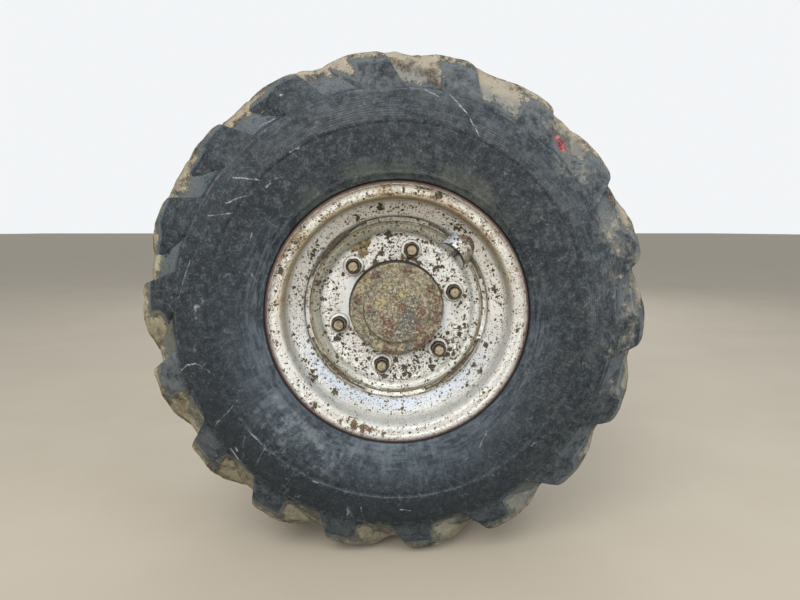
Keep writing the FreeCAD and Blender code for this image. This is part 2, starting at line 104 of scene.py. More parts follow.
# gridPiece: one mesh out of several grids of places, each (points, wrapRows, wrapColumns, flip)
def gridPiece(name, grids, body, marks=None):
    corners, cells, start = [], [], 0
    for points, wrapRows, wrapColumns, flip in grids:
        quads = gridCells(points.shape[0], points.shape[1], wrapRows, wrapColumns, start)
        cells.append(quads[:, ::-1] if flip else quads)
        corners.append(points.reshape(-1, 3))
        start += points.shape[0] * points.shape[1]
    corners, cells = np.concatenate(corners), np.concatenate(cells)
    mesh = bpy.data.meshes.new(name)
    mesh.vertices.add(len(corners))
    mesh.vertices.foreach_set("co", corners.astype(np.float32).ravel())
    mesh.loops.add(cells.size)
    mesh.loops.foreach_set("vertex_index", cells.astype(np.int32).ravel())
    mesh.polygons.add(len(cells))
    mesh.polygons.foreach_set("loop_start", np.arange(0, cells.size, 4, dtype=np.int32))
    mesh.polygons.foreach_set("use_smooth", np.ones(len(cells), bool))
    mesh.update(calc_edges=True)
    mesh.validate()
    for mark, values in (marks or {}).items():
        layer = mesh.attributes.new(mark, "FLOAT", "POINT")
        flat = np.concatenate([v.ravel() for v in values])
        layer.data.foreach_set("value", flat.astype(np.float32))
    piece = placed(name, mesh)
    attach(piece, body)
    return piece


# spaced: a path read again at even steps of about the given length, its corners kept
def spaced(path, step, closed=False):
    points = np.vstack([path, path[:1]]) if closed else path
    out = []
    for a, b in zip(points[:-1], points[1:]):
        count = max(1, int(round(np.linalg.norm(b - a) / step)))
        out.append(a + (b - a) * np.arange(count)[:, None] / count)
    if not closed:
        out.append(points[-1:])
    return np.concatenate(out)


# turned: a (radius, depth) path carried round the axle
def turned(path, count):
    clock = np.arange(count)[:, None] * 360 / count
    return spot(path[None, :, 0], clock, path[None, :, 1])


# Shader maths: a socket that takes part in expressions
class Wire:
    def __init__(self, tree, socket):
        self.tree, self.socket = tree, socket

    # any node: its type, its settings, then the values or links of its sockets
    def node(self, kind, settings=None, sockets=None, out=0):
        made = self.tree.nodes.new(kind)
        for key, value in (settings or {}).items():
            if key == "stops":
                ramp = made.color_ramp
                while len(ramp.elements) < len(value):
                    ramp.elements.new(1.0)
                for element, (place, colour) in zip(ramp.elements, value):
                    element.position, element.color = place, (*colour, 1.0)
            else:
                setattr(made, key, value)
        for key, value in (sockets or {}).items():
            if isinstance(value, Wire):
                self.tree.links.new(value.socket, made.inputs[key])
            elif isinstance(value, tuple) and len(value) == 3 and made.inputs[key].type == "RGBA":
                made.inputs[key].default_value = (*value, 1.0)
            else:
                made.inputs[key].default_value = value
        return Wire(self.tree, made.outputs[out] if made.outputs else None)

    def maths(self, operation, first, second=0.5, clamp=False):
        return self.node("ShaderNodeMath", {"operation": operation, "use_clamp": clamp},
                         {0: first, 1: second})

    def __add__(self, other): return self.maths("ADD", self, other)
    def __radd__(self, other): return self.maths("ADD", other, self)
    def __sub__(self, other): return self.maths("SUBTRACT", self, other)
    def __rsub__(self, other): return self.maths("SUBTRACT", other, self)
    def __mul__(self, other): return self.maths("MULTIPLY", self, other)
    def __rmul__(self, other): return self.maths("MULTIPLY", other, self)
    def __truediv__(self, other): return self.maths("DIVIDE", self, other)
    def __pow__(self, other): return self.maths("POWER", self, other)

    # 0 below low, 1 above high, smooth between; low above high turns it round
    def ramp(self, low, high):
        return self.node("ShaderNodeMapRange", {"interpolation_type": "SMOOTHSTEP"},
                         {"Value": self, "From Min": low, "From Max": high})

    def clamped(self): return self.maths("ADD", self, 0.0, True)
    def top(self, other): return self.maths("MAXIMUM", self, other)
    def least(self, other): return self.maths("MINIMUM", self, other)
    def size(self): return self.maths("ABSOLUTE", self)
    # 1 along the level lines of a noise, at its middle
    def thread(self, wide, narrow): return (self - 0.5).size().ramp(wide, narrow)

    def noise(self, scale, detail=4.0, rough=0.55, out=0):
        return self.node("ShaderNodeTexNoise", {}, {
            "Vector": self, "Scale": scale, "Detail": detail, "Roughness": rough}, out)

    # this place, or another, pushed about by a noise by up to about reach in its own units
    def bent(self, scale, reach, detail=3.0, rough=0.6, place=None):
        push = self.noise(scale, detail, rough, 1).vector("SUBTRACT", (0.5, 0.5, 0.5))
        return (place or self).vector("ADD", push.times(reach * 2))

    # one of the piece's own marks, read anywhere in its material
    def mark(self, name):
        return self.node("ShaderNodeAttribute", {"attribute_name": name}, {}, 2)

    def vector(self, operation, other=(0.0, 0.0, 0.0), out=0):
        return self.node("ShaderNodeVectorMath", {"operation": operation}, {0: self, 1: other},
                         out)

    def times(self, scale):
        return self.node("ShaderNodeVectorMath", {"operation": "SCALE"}, {0: self, 3: scale})

    # this colour where the mask is 0, the other where it is 1; coat lays the other on this one
    def blend(self, mask, other):
        return mixed(mask, self, other)

    def coat(self, mask, other):
        self.socket = mixed(mask, self, other).socket


# the first colour where the mask is 0, the second where it is 1
def mixed(mask, first, second):
    return mask.node("ShaderNodeMix", {"data_type": "RGBA"}, {0: mask, 6: first, 7: second}, 2)


# a new material: its tree's first wire is the Object coordinates in metres
def newFinish(name):
    finish = bpy.data.materials.new(name)
    finish.use_nodes = True
    tree = finish.node_tree
    tree.nodes.clear()
    place = Wire(tree, tree.nodes.new("ShaderNodeTexCoord").outputs["Object"])
    return finish, place


# shader and output: bump is a height in millimetres
def closeFinish(place, colour, roughness, bump=None, metallic=0.0, shine=0.5):
    sockets = {"Base Color": colour, "Roughness": roughness, "Metallic": metallic,
               "Specular IOR Level": shine}
    if bump is not None:
        sockets["Normal"] = place.node("ShaderNodeBump", {}, {
            "Height": bump * 0.001, "Distance": 1.0, "Strength": 1.0})
    shader = place.node("ShaderNodeBsdfPrincipled", {}, sockets)
    place.node("ShaderNodeOutputMaterial", {}, {"Surface": shader})


# of a point on the wheel, in millimetres: radius, depth, direction from the axle, the test near
# (1 within close degrees of a clock angle, 0 beyond far degrees), and the point flattened
def polar(place):
    flat = place.vector("MULTIPLY", (1000.0, 0.0, 1000.0))
    radius = flat.vector("LENGTH", out=1)
    unit = flat.vector("NORMALIZE")
    around = [unit.node("ShaderNodeSeparateXYZ", {}, {0: unit}, k) for k in (0, 2)]
    depth = place.node("ShaderNodeSeparateXYZ", {}, {0: place}, 1) * 1000 - lipY

    def near(clock, close, far):
        a, close, far = (math.radians(angle) for angle in (clock, close, far))
        facing = around[0] * math.sin(a) + around[1] * math.cos(a)
        return facing.ramp(math.cos(far), math.cos(close))

    return radius, depth, around, near, flat


# a place for noises drawn out round the axle, the more so the smaller the share
def drawn(around, share, along):
    sockets = {0: around[0] * share, 1: along, 2: around[1] * share}
    return along.node("ShaderNodeCombineXYZ", {}, sockets)


# 1 from low to high, soft at both ends
def within(value, low, high, soft):
    return value.ramp(low - soft, low + soft) * value.ramp(high + soft, high - soft)


# a mark's place on the flattened wheel
def centre(clock, radius):
    a = math.radians(clock)
    return radius * math.sin(a), 0.0, radius * math.cos(a)


# 0 at the middle of an oval mark, 1 at its edge: half width round, half height along the radius
def oval(flat, clock, radius, wide, high):
    inside = flat.node("ShaderNodeMapping", {"vector_type": "TEXTURE"}, {
        "Vector": flat, "Location": centre(clock, radius),
        "Rotation": (0.0, math.radians(clock), 0.0), "Scale": (wide, 1.0, high)})
    return inside.vector("LENGTH", out=1)


# distance in millimetres to the nearest of some round marks, each (clock, radius, size)
def nearest(flat, marks):
    found = None
    for clock, radius, size in marks:
        gap = flat.vector("DISTANCE", centre(clock, radius), 1) - size
        found = gap if found is None else found.least(gap)
    return found


def dress(piece, finish):
    piece.data.materials.clear()
    piece.data.materials.append(finish)


# Tyre
tyreLook = {
    "lugs": 18, "firstLug": 11.3, "edge": 4.6,
    # outer side: from the toe of the bead over the lip, up the sidewall and into the groove
    "bead": [(251.9, 54), (254.4, 20), (258.5, 16.4), (265.2, 16.4), (270.6, 15.4), (275.1, 12.4),
             (278.1, 8.0), (279.5, 3.5), (279.8, 0.4)],
    "side": [(281.2, -2.4), (285, -4.6), (291, -6.8), (293, -9.3), (296.5, -10.6), (300, -10.2),
             (302, -10.9), (312, -13.8), (330, -17.2), (352, -20.2), (375, -22.0), (388.0, -22.7),
             (390.4, -22.0), (392.0, -22.3), (394.4, -24.1), (399, -24.5), (424, -22.8),
             (444, -19.7), (455, -17.1), (459.6, -15.3), (461.4, -13.0), (463.2, -9.2),
             (469, -3.2), (480, 5.8), (494, 15.5), (505.5, 24), (511.5, 33), (513.5, 43)],
    "floor": [(513, 60), (510.5, 90), (508.5, 130), (507.5, 181)],
    "liner": [(488, 181), (484, 62), (424, -4), (328, 3), (262, 40)],
    # rows of a lug: foot (radius, depth), crown (radius, depth), then in degrees from the lug's
    # place the crown's left and right edge, and how far its left and right foot go past them
    "rows": [((446, -17.6), (446, -18.3), -0.6, 14.0, 0.1, 0.1),
             ((454, -15.4), (454, -16.8), -0.3, 12.6, 0.1, 0.1),
             ((459, -13.0), (459, -15.8), 0.0, 11.5, 0.25, 0.15),
             ((463, -8.0), (463.5, -14.4), 0.0, 10.7, 0.7, 0.25),
             ((470, -1.6), (473, -11.6), 0.0, 9.8, 2.2, 0.35),
             ((481, 7.4), (487, -7.4), 0.0, 8.8, 4.2, 0.45),
             ((492, 15.4), (501, -2.6), 0.0, 7.9, 6.3, 0.55),
             ((501, 22.4), (514, 2.4), 0.0, 7.2, 8.4, 0.65),
             ((507, 28.4), (525, 7.6), 0.0, 6.6, 10.4, 0.75),
             ((511, 34), (533.5, 12.6), -0.1, 6.2, 11.2, 0.8),
             ((512.6, 40), (538.8, 18.4), -0.7, 5.9, 10.8, 0.85),
             ((513, 47), (541.4, 25), -3.4, 5.4, 8.6, 0.9),
             ((512.6, 55), (542.8, 36), -4.9, 4.3, 7.6, 0.9),
             ((511.6, 72), (544, 60), -7.1, 1.9, 6.6, 0.9),
             ((509.2, 98), (545.6, 94), -11.0, -3.3, 5.4, 0.9),
             ((507.2, 142), (547.1, 141), -15.7, -8.3, 4.6, 0.9),
             ((506.3, 199), (547.9, 199), -20.4, -13.2, 4.0, 0.9)],
    # soil left in the grooves, in millimetres, at clock angles from the top
    "soil": [(0, 28), (18, 25), (38, 23), (58, 16), (79, 14), (99, 12), (119, 8), (139, 3),
             (180, 2), (219, 4), (239, 5), (259, 5), (278, 13), (298, 27), (318, 25), (338, 26),
             (360, 28)],
    # how much of the scoops between the lugs is caked, at clock angles
    "caked": [(0, 1.0), (14, 0.95), (30, 0.75), (44, 0.35), (56, 0.12), (130, 0.14), (150, 0.4),
              (165, 0.55), (235, 0.6), (250, 0.4), (262, 0.12), (340, 0.1), (352, 0.3), (358, 1.0),
              (360, 1.0)],
    # radius from which the lugs' walls, and their shoulders, are caked, at clock angles
    "walls": [(0, 452), (40, 462), (55, 500), (125, 505), (150, 470), (225, 465), (271, 480),
              (284, 510), (345, 512), (353, 456), (360, 452)],
    "shoulders": [(0, 509), (45, 512), (60, 522), (130, 522), (150, 509), (270, 509), (290, 521),
                  (345, 521), (355, 509), (360, 509)],
    "tear": 7.0,
}


def roundTable(name, clock):
    table = np.array(tyreLook[name], float)
    return np.interp(clock % 360, table[:, 0], table[:, 1])


# lug rows read again more finely: straight between the keys, then eased along the bar
def lugRows(keys, perKey=5):
    table = np.array([[*foot, *crown, *edges] for foot, crown, *edges in keys], float)
    fine = np.arange((len(table) - 1) * perKey + 1) / perKey
    rows = np.stack([np.interp(fine, np.arange(len(table)), column) for column in table.T], -1)
    for _ in range(3):
        rows[1:-1] = rows[1:-1] * 0.5 + (rows[:-2] + rows[2:]) * 0.25
    return rows


# lugGrid: point = foot(t) + (crown(t) - foot(t)) * height(across), its clock angle running from
# the left foot over the two crown edges to the right foot, so a bar is a ruled band on the carcass
def lugGrid(number, inner):
    rows = lugRows(tyreLook["rows"])
    body = len(rows)
    # the bar's inner end: steps along the axle, how high it still is, and what each column of
    # the rows gains per step
    steps = np.array([0.0, 1.6, 3.2, 6.0, 9.5, 14.0])
    ends = [1.0, 0.97, 0.86, 0.5, 0.12, -0.06]
    rows = np.vstack([rows, rows[-1] + steps[:, None] * [0, 1, 0, 1, -0.06, -0.09, 0, 0]])
    fall = np.concatenate([np.ones(body), ends])[:, None]
    foot, crown = rows[:, 0:2], rows[:, 2:4]
    left, right, leftFoot, rightFoot = rows[:, 4:].T
    reach = np.linalg.norm(crown - foot, axis=1)
    seeds = np.arange(len(reach))
    wear = lumps(np.stack([seeds * 0.17, 0 * seeds + number * 3.7, 0 * seeds + inner * 9.1], -1),
                 1.0)
    perDegree = crown[:, 0] * math.pi / 180
    edge = tyreLook["edge"] * np.clip(reach / 20, 0.02, 1) * (1.0 + 0.8 * np.clip(wear, -0.7, 1.2))
    edge = edge / perDegree
    reach = reach[:, None]
    # across the bar: share of the way out to the foot, or of the edge, and height there
    share = [(1.0, -0.06), (0.86, 0.09), (0.68, 0.27), (0.5, 0.46), (0.33, 0.65), (0.17, 0.83),
             (0.05, 0.95)]
    steep = [(0.0, 0.9), (0.08, 0.8), (0.22, 0.52), (0.42, 0.24), (0.66, 0.06), (1.0, -0.06)]
    top = [(0.22, 0.968), (0.62, 0.994), (1.0, 1.0)]
    leftSide = np.stack([left - leftFoot * u for u, h in share]
                        + [left + edge * u for u, h in top], 1)
    rightSide = np.stack([right - edge * u for u, h in top[::-1]]
                         + [right + rightFoot * u for u, h in steep], 1)
    inside = np.linspace(0, 1, 9)[None, 1:-1]
    middle = leftSide[:, -1:] + (rightSide[:, :1] - leftSide[:, -1:]) * inside
    across = np.concatenate([leftSide, middle, rightSide], 1)
    height = np.array([h for u, h in share + top + [(0, 1.0)] * 7 + top[::-1] + steep]) * fall
    # the corners at the shoulder are worn round
    blunt = np.clip(1 - np.abs(seeds - 52) / 17, 0, 1)[:, None]
    height = height * (1 - blunt * (0.16 * np.exp(-((across - left[:, None]) / 0.95) ** 2)
                                    + 0.1 * np.exp(-((across - right[:, None]) / 0.8) ** 2)))
    clock = across + tyreLook["firstLug"] + 20.0 * number + (10.0 if inner else 0.0)

    def section(height):
        place = foot[:, None, :] + (crown - foot)[:, None, :] * height[:, :, None]
        return place[..., 0], 2 * treadMiddle - place[..., 1] if inner else place[..., 1]

    radius, depth = section(height)
    points = spot(radius, clock, depth)
    # torn edges: where the noise is high the corner goes down towards the foot
    corner = np.clip(1 - np.abs(height - 0.97) / 0.09, 0, 1) * (reach > 15)
    torn = np.clip(lumps(points, 0.045, 3, number + 3.0) - 0.25, 0,
                   0.8) * corner * tyreLook["tear"]
    torn += rise(lumps(points, 0.09, 2, 31.0), 0.1, 1) * corner * 2.0
    height = height - torn / np.maximum(reach, 12)
    radius, depth = section(height)
    bumpy = lumps(points, 0.035, 3) * 1.1 + lumps(points, 0.012, 2, 5.0) * 0.5
    ground = bumpy * rise(reach, 0, 20) * (0.7 + 1.6 * np.clip(1 - height, 0, 1)
        * rise(reach, 0, 20))
    soil = roundTable("soil", clock) * np.clip(0.75 - height, 0, 1) * rise(reach, 22, 8) * 0.6
    points = spot(radius + (ground * 0.7 + soil) * fall.clip(0, 1), clock,
                  depth + ground * (0.5 if inner else -0.5))
    onShoulder = rise(radius, roundTable("shoulders", clock), 18) * 0.66
    wall = np.clip((1 - height) * 3.6, 0, 1) * rise(reach, 3, 7) * 0.85
    wall *= np.where(np.arange(height.shape[1]) < len(share + top), 1.0, 0.45)
    wall *= rise(radius, roundTable("walls", clock), 16)
    return points, np.clip(np.maximum(onShoulder, wall), 0, 1)


# the same path on the tyre's inner side, read the other way
def mirrored(path):
    return np.stack([path[::-1, 0], 2 * treadMiddle - path[::-1, 1]], -1)


# carcassSkin: the section carried round the axle, then pushed out by the soil that lies on the
# tread and in the scoops, and roughened
def carcassSkin(turns=480):
    bead, side, floorPath, liner = (np.array(tyreLook[k], float)
                                    for k in ("bead", "side", "floor", "liner"))
    front = np.vstack([bead, spaced(side, 6.5), spaced(floorPath, 16)])
    back = mirrored(np.vstack([bead, spaced(side, 9), floorPath]))[1:]
    path = np.vstack([front, back, mirrored(liner), liner[1:]])
    clock = (np.arange(turns) * 360 / turns)[:, None] + 0 * path[None, :, 0]
    radius, depth = path[None, :, 0] + 0 * clock, path[None, :, 1] + 0 * clock
    outerSkin = np.arange(len(path))[None, :] < len(front) + len(back)
    rough = turned(path, turns)
    uneven = lumps(rough, 0.03, 3)
    soil, caked = roundTable("soil", clock), roundTable("caked", clock)
    onTread, scoop = rise(radius, 497, 12) * outerSkin, rise(radius, 462, 10) * outerSkin
    offTread = 1 - onTread
    deep = rise(depth, 60, 60) * rise(depth, 2 * treadMiddle - 60, -60)
    packed = soil * (1 - 0.45 * deep) * np.clip(0.92 + 0.3 * lumps(rough, 0.05, 3), 0.1, 1.15)
    filled = rise(radius, 464, 22) * outerSkin * offTread * caked * soil
    filled = filled * np.clip(1 + 0.5 * lumps(rough, 0.045, 3), 0.2, 1.6)
    pushed = onTread * (packed + 1.2 * uneven) + filled * 0.45 + scoop * offTread * uneven * 0.7
    points = spot(radius + pushed, clock, depth + filled * np.where(depth < treadMiddle, -0.32,
        0.32))
    lipMark = np.exp(-((radius - 460.2) / 1.6) ** 2) * outerSkin
    return points, onTread * 0.9 + scoop * offTread * (0.2 + 0.62 * caked), lipMark


carcass, groundMark, lipMark = carcassSkin()
grids, muds = [], []
for number in range(tyreLook["lugs"]):
    for inner in (False, True):
        points, mud = lugGrid(number, inner)
        grids.append((points, False, False, inner))
        muds.append(mud)
# two pieces, so that neither is too heavy
tyreBody = gridPiece("tyreCarcass", [(carcass, True, True, False)], "wheel",
                     {"mud": [groundMark], "lip": [lipMark]})
tyreLugs = gridPiece("tyreLugs", grids, "wheel", {"mud": muds})
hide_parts("tyre")
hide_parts("tyre")
print("tyre:", len(tyreBody.data.polygons) * 2, "and", len(tyreLugs.data.polygons) * 2,
      "triangles")


# Rubber: slate grey, dusty, scuffed along and across, dry soil where the grooves keep it
rubberLook = {
    # scratches: clock and radius of both ends, half width, strength
    "scratches": [(6.8, 458, 10.8, 448, 0.8, 0.8), (13.4, 455, 18.5, 433, 0.8, 0.85),
                  (18.5, 433, 24.1, 398, 0.9, 0.9), (256, 469, 257, 451, 1.5, 0.8),
                  (257, 451, 257.1, 431, 1.5, 0.85), (257.1, 431, 255.9, 417, 1.4, 0.7),
                  (255.9, 417, 253.6, 407, 0.9, 0.45), (298.5, 434, 302.8, 393, 1.4, 0.7),
                  (304, 416, 308.8, 391, 1.2, 0.7), (310.6, 433, 315, 394, 1.4, 0.75),
                  (143, 315, 148.5, 337, 1, 0.6), (176.5, 426, 179.5, 423, 1.4, 0.8),
                  (231.5, 455, 228.4, 459, 1.4, 0.85), (228.4, 459, 224.6, 470, 1.2, 0.7),
                  (230, 447, 230.8, 445, 1.6, 0.8), (321.5, 470, 325, 476, 0.8, 0.6),
                  (325, 476, 328.4, 470, 0.8, 0.6), (326.5, 498, 327.8, 496, 1, 0.9),
                  (186, 478, 189, 462, 1.8, 0.5), (189, 458, 191, 424, 0.9, 0.5),
                  (223.7, 438, 225, 398, 0.9, 0.4), (239, 452, 242.5, 378, 0.9, 0.4),
                  (298.6, 340, 300.2, 342, 1.6, 0.7), (315, 373, 316.5, 374, 1.8, 0.8),
                  (327, 395, 330, 394, 1.6, 0.6), (284, 300, 287, 315, 1.2, 0.5),
                  (275, 452, 285.5, 437, 0.8, 0.45)],
    # pale patches: clock, radius, half length round, half height, strength
    "patches": [(271, 410, 20, 11, 0.5), (263, 421, 9, 7, 0.4), (275, 400, 12, 8, 0.4),
                (194, 442, 16, 16, 0.3), (236, 310, 16, 9, 0.4), (332.6, 504, 4, 3.5, 0.7),
                (227, 497, 7, 4, 0.3), (228, 396, 44, 2, 0.4), (206, 398, 20, 2, 0.4)],
    "red": [(42, 495, 6), (43.4, 490, 6), (44.8, 485, 6)], "ribPitch": 4.7,
}


def rubberFinish():
    finish, p = newFinish("slateRubber")
    radius, depth, around, near, flat = polar(p)
    # drawn out round the wheel, and drawn out along its radius
    rings, rays = drawn(around, 0.05, radius * 0.001), drawn(around, 0.34, radius * 0.00025)
    cloudy, patchy = p.noise(6, 5, 0.62), p.noise(19, 6, 0.68)
    mottle, fine = p.noise(70, 7, 0.76), p.noise(230, 4, 0.7)
    streaks = rings.noise(150, 6, 0.72)
    rubbed = rays.noise(120, 5, 0.7)
    outside = depth.ramp(70, 50)
    # light: between 0.6 and 1, highest at the top; it paints the top lighter by bringing out more
    # pale specks and streaks there
    light = 0.6 + near(10, 30, 150) * 0.4
    base = mixed(cloudy.ramp(0.34, 0.66), (0.008, 0.012, 0.016), (0.013, 0.018, 0.023))
    base.coat(mottle.ramp(0.51, 0.59) * 0.6 * light, (0.05, 0.058, 0.065))
    base.coat(fine.ramp(0.54, 0.61) * 0.4, (0.078, 0.089, 0.098))
    base.coat(near(80, 50, 110) * patchy.ramp(0.4, 0.65) * 0.3, (0.05, 0.052, 0.047))
    base.coat(mottle.ramp(0.48, 0.38) * 0.85, (0.004, 0.006, 0.008))
    base.coat(fine.ramp(0.47, 0.4) * 0.5, (0.004, 0.006, 0.008))
    # a bluish band of painted sky sheen by the rim at the bottom left, with streaks of it at the
    # left and lower right, khaki dust above the rim, grey dust at the top right
    sheenBreakup = (patchy * 0.5 + streaks * 0.35 + rubbed * 0.25 + mottle * 0.3).ramp(0.6, 0.82)
    paintedSkySheen = near(205, 20, 75) * radius.ramp(390, 300) * sheenBreakup
    paintedSkySheen = paintedSkySheen.top(near(262, 25, 60) * radius.ramp(352, 292) * streaks.ramp(0.42, 0.62) * 0.7)
    paintedSkySheen = paintedSkySheen.top(near(125, 25, 60) * radius.ramp(350, 292) * streaks.ramp(0.44, 0.62) * 0.6)
    # bluish towards the bottom below radius 400: painted sky reflection
    base.coat(near(200, 40, 100) * radius.ramp(400, 340) * 0.35, (0.026, 0.038, 0.049))
    base.coat(paintedSkySheen * 0.75, (0.092, 0.117, 0.136))
    # brighter streaks at the bottom left: painted sheen
    paintedSheenStreaks = near(217, 8, 24) * within(radius, 300, 372, 24)
    paintedSheenStreaks = paintedSheenStreaks * (patchy * 0.5 + mottle * 0.6 + rubbed * 0.2).ramp(0.62, 0.8)
    base.coat(paintedSheenStreaks * 0.6, (0.15, 0.162, 0.16))
    dusted = patchy * 0.6 + streaks * 0.5
    khaki = near(5, 25, 60) * radius.ramp(345, 300) * dusted.ramp(0.42, 0.66)
    base.coat(khaki * 0.6, (0.074, 0.082, 0.066))
    pale = near(20, 35, 95) * within(radius, 398, 470, 8) * dusted.ramp(0.44, 0.7)
    base.coat(pale * 0.55, (0.072, 0.081, 0.092))
    # fine ribs and their dust
    turn = radius * (2 * math.pi / rubberLook["ribPitch"]) + mottle * 2.5
    ribs = turn.maths("SINE", turn)
    ribbed = within(radius, 398, 446, 6) * near(35, 50, 85) * patchy.ramp(0.38, 0.6)
    inward = within(radius, 345, 384, 14) * near(58, 26, 50) * cloudy.ramp(0.42, 0.56)
    ribbed = ribbed.top(inward * 0.7)
    base.coat(ribs.ramp(0.1, 0.9) * ribbed * (mottle + streaks * 0.5).ramp(0.62, 0.84) * 0.4,
              (0.095, 0.105, 0.112))
    # darker at the bottom between radius 402 and 462: painted shade where the sidewall faces the
    # ground
    base.coat(near(200, 30, 85) * within(radius, 402, 462, 12) * 0.6, (0.01, 0.013, 0.015))
    base.coat(streaks.ramp(0.58, 0.74) * 0.35 * light, (0.075, 0.082, 0.086))
    base.coat(rubbed.ramp(0.58, 0.72) * 0.3 * light, (0.07, 0.075, 0.077))
    # hair scratches: thin level lines of a drawn out noise, shown here and there
    hair = rays.bent(9, 0.02).noise(34, 2, 0.5).thread(0.008, 0.001) * patchy.ramp(0.48, 0.6)
    base.coat(hair * mottle.ramp(0.44, 0.56) * 0.5, (0.13, 0.145, 0.155))
    curl = p.bent(30, 0.012).noise(13, 2, 0.5).thread(0.0045, 0.0008)
    curl = curl * patchy.ramp(0.46, 0.56)
    base.coat(curl * mottle.ramp(0.46, 0.54) * outside * 0.5, (0.16, 0.175, 0.18))
    # dust on the lugs' faces and in the scoops, and a painted highlight along the lip under them
    faces = radius.ramp(458, 478) * outside
    dusty = (near(30, 30, 58) * 0.42).top(near(12, 6, 16) * 0.62)
    dusty = dusty.top(near(254, 5, 13) * 0.75).top(near(235, 8, 20) * 0.3) + 0.1
    base.coat(faces * dusty * (patchy * 0.6 + mottle * 0.5).ramp(0.4, 0.66), (0.105, 0.115, 0.12))
    base.coat(faces * near(188, 60, 80) * (patchy * 0.5 + mottle * 0.6).ramp(0.42, 0.66) * 0.45,
              (0.052, 0.064, 0.068))
    mark, lip = p.mark("mud"), p.mark("lip")
    scooped = mark.ramp(0.1, 0.2) * faces
    # the scoops' dust is khaki at the bottom left and bluish elsewhere, the bluish partly a
    # painted sky sheen
    dust = mixed(near(215, 55, 75), (0.07, 0.09, 0.11), (0.09, 0.094, 0.076))
    base.coat(scooped * (patchy * 0.5 + fine * 0.6).ramp(0.36, 0.66) * 0.85, dust)
    # tan dust on the right, in soft patches over lugs and scoops
    tan = radius.ramp(428, 470) * near(82, 36, 58) * outside
    tan = tan * (cloudy * 0.8 + patchy * 0.5 + mottle * 0.3).ramp(0.78, 0.98)
    base.coat(tan * 0.85, mixed(mottle.ramp(0.48, 0.62), (0.15, 0.14, 0.11), (0.26, 0.235, 0.18)))
    film = mark.ramp(0.13, 0.5) * (patchy * 0.4 + mottle * 0.5 + fine * 0.3).ramp(0.46, 0.7)
    base.coat(film * 0.7, (0.155, 0.16, 0.148))
    # the pale line along the lip: painted highlight on its edge
    base.coat(lip * outside * (rubbed + patchy * 0.4).ramp(0.56, 0.78) * 0.35, (0.2, 0.215, 0.215))
    # a pale line on the small step at radius 395, at the bottom only: painted highlight where the
    # step faces up
    line = within(radius, 394.6, 395.6, 0.8) * near(198, 26, 50)
    line = line * (rubbed + mottle * 0.3).ramp(0.5, 0.75)
    base.coat(line * 0.55, (0.15, 0.165, 0.175))
    base.coat(radius.ramp(283.5, 281) * outside * 0.9, (0.004, 0.003, 0.003))
    # scratches and scuffs, broken along their length
    wavy = p.bent(26, 5.5, 4, 0.65, flat)
    broken = (p.noise(110, 4, 0.7) * 0.7 + fine * 0.4).ramp(0.48, 0.62) * 0.9 + 0.1
    marks = None
    for c0, r0, c1, r1, width, strength in rubberLook["scratches"]:
        first, last = Vector(centre(c0, r0)), Vector(centre(c1, r1))
        along = last - first
        away = wavy.vector("SUBTRACT", tuple(first))
        t = away.vector("DOT_PRODUCT", tuple(along / along.length ** 2), 1).clamped()
        on = t.node("ShaderNodeVectorMath", {"operation": "SCALE"}, {0: tuple(along), 3: t})
        gap = away.vector("DISTANCE", on, 1)
        scratch = (gap + (fine - 0.5) * 4).ramp(width + 0.9, width * 0.35) * (strength * broken)
        marks = scratch if marks is None else marks.top(scratch)
    for *place, strength in rubberLook["patches"]:
        patch = (oval(wavy, *place) + mottle * 5 + patchy * 2.5 - 3.6).ramp(1.2, 0.2) * strength
        marks = marks.top(patch)
    base.coat(marks * outside, (0.33, 0.345, 0.335))
    # dry soil in the grooves, on the lugs' walls and shoulders: tan above, khaki grey on the
    # right, olive at the left and below, dark brown deep in the notches at the left
    cake = mark + (patchy - 0.5) * 0.8 + (mottle - 0.5) * 1.2 + (fine - 0.5) * 0.9
    cake = cake.ramp(0.36, 0.7) * mark.ramp(0.02, 0.15)
    soil = mixed(near(345, 45, 75), (0.195, 0.172, 0.108), (0.225, 0.195, 0.14))
    above = (radius + patchy * 36).ramp(508, 534)
    soil.coat(near(20, 35, 55), mixed(above, (0.16, 0.16, 0.148), (0.245, 0.218, 0.17)))
    above = (radius + patchy * 16).ramp(524, 536)
    soil.coat(near(95, 45, 70) * 0.85, mixed(above, (0.11, 0.114, 0.102), (0.26, 0.22, 0.155)))
    soil.coat(near(275, 22, 45) * (patchy + mottle * 0.4).ramp(0.62, 0.86) * 0.7,
              (0.3, 0.275, 0.2))
    deepSoil = depth.ramp(24, 38) * near(268, 45, 70) * patchy.ramp(0.35, 0.5)
    soil.coat((patchy.ramp(0.5, 0.38) * 0.7).top(deepSoil * 0.85), (0.07, 0.05, 0.03))
    soil.coat(mottle.ramp(0.52, 0.72) * 0.55, (0.4, 0.36, 0.28))
    soil.coat(mottle.ramp(0.46, 0.3) * 0.6, (0.06, 0.048, 0.032))
    thin = (0.55 + near(300, 60, 100) * 0.35 + near(10, 50, 80) * 0.35).clamped()
    colour = base.blend(cake * thin, soil)
    # a smear of red paint in one groove
    red = (nearest(flat, rubberLook["red"]) + mottle * 30 + fine * 18 - 25).ramp(1, -1) * outside
    smear = mixed(mottle.ramp(0.51, 0.57), (0.3, 0.03, 0.045), (0.56, 0.24, 0.25))
    smear.coat(mottle.ramp(0.46, 0.42), (0.03, 0.012, 0.016))
    colour.coat(red, smear)
    height = mottle * 1.3 + fine * 0.4 + streaks * 0.5 + patchy * 1.2 + ribs * ribbed * 0.35
    height = height + cake * (patchy * 2.5 + mottle * 1.8)
    closeFinish(p, colour, 0.56 + cake * 0.36 + mottle * 0.14, height, shine=0.22)
    return finish


rubber = rubberFinish()
dress(tyreBody, rubber)
dress(tyreLugs, rubber)

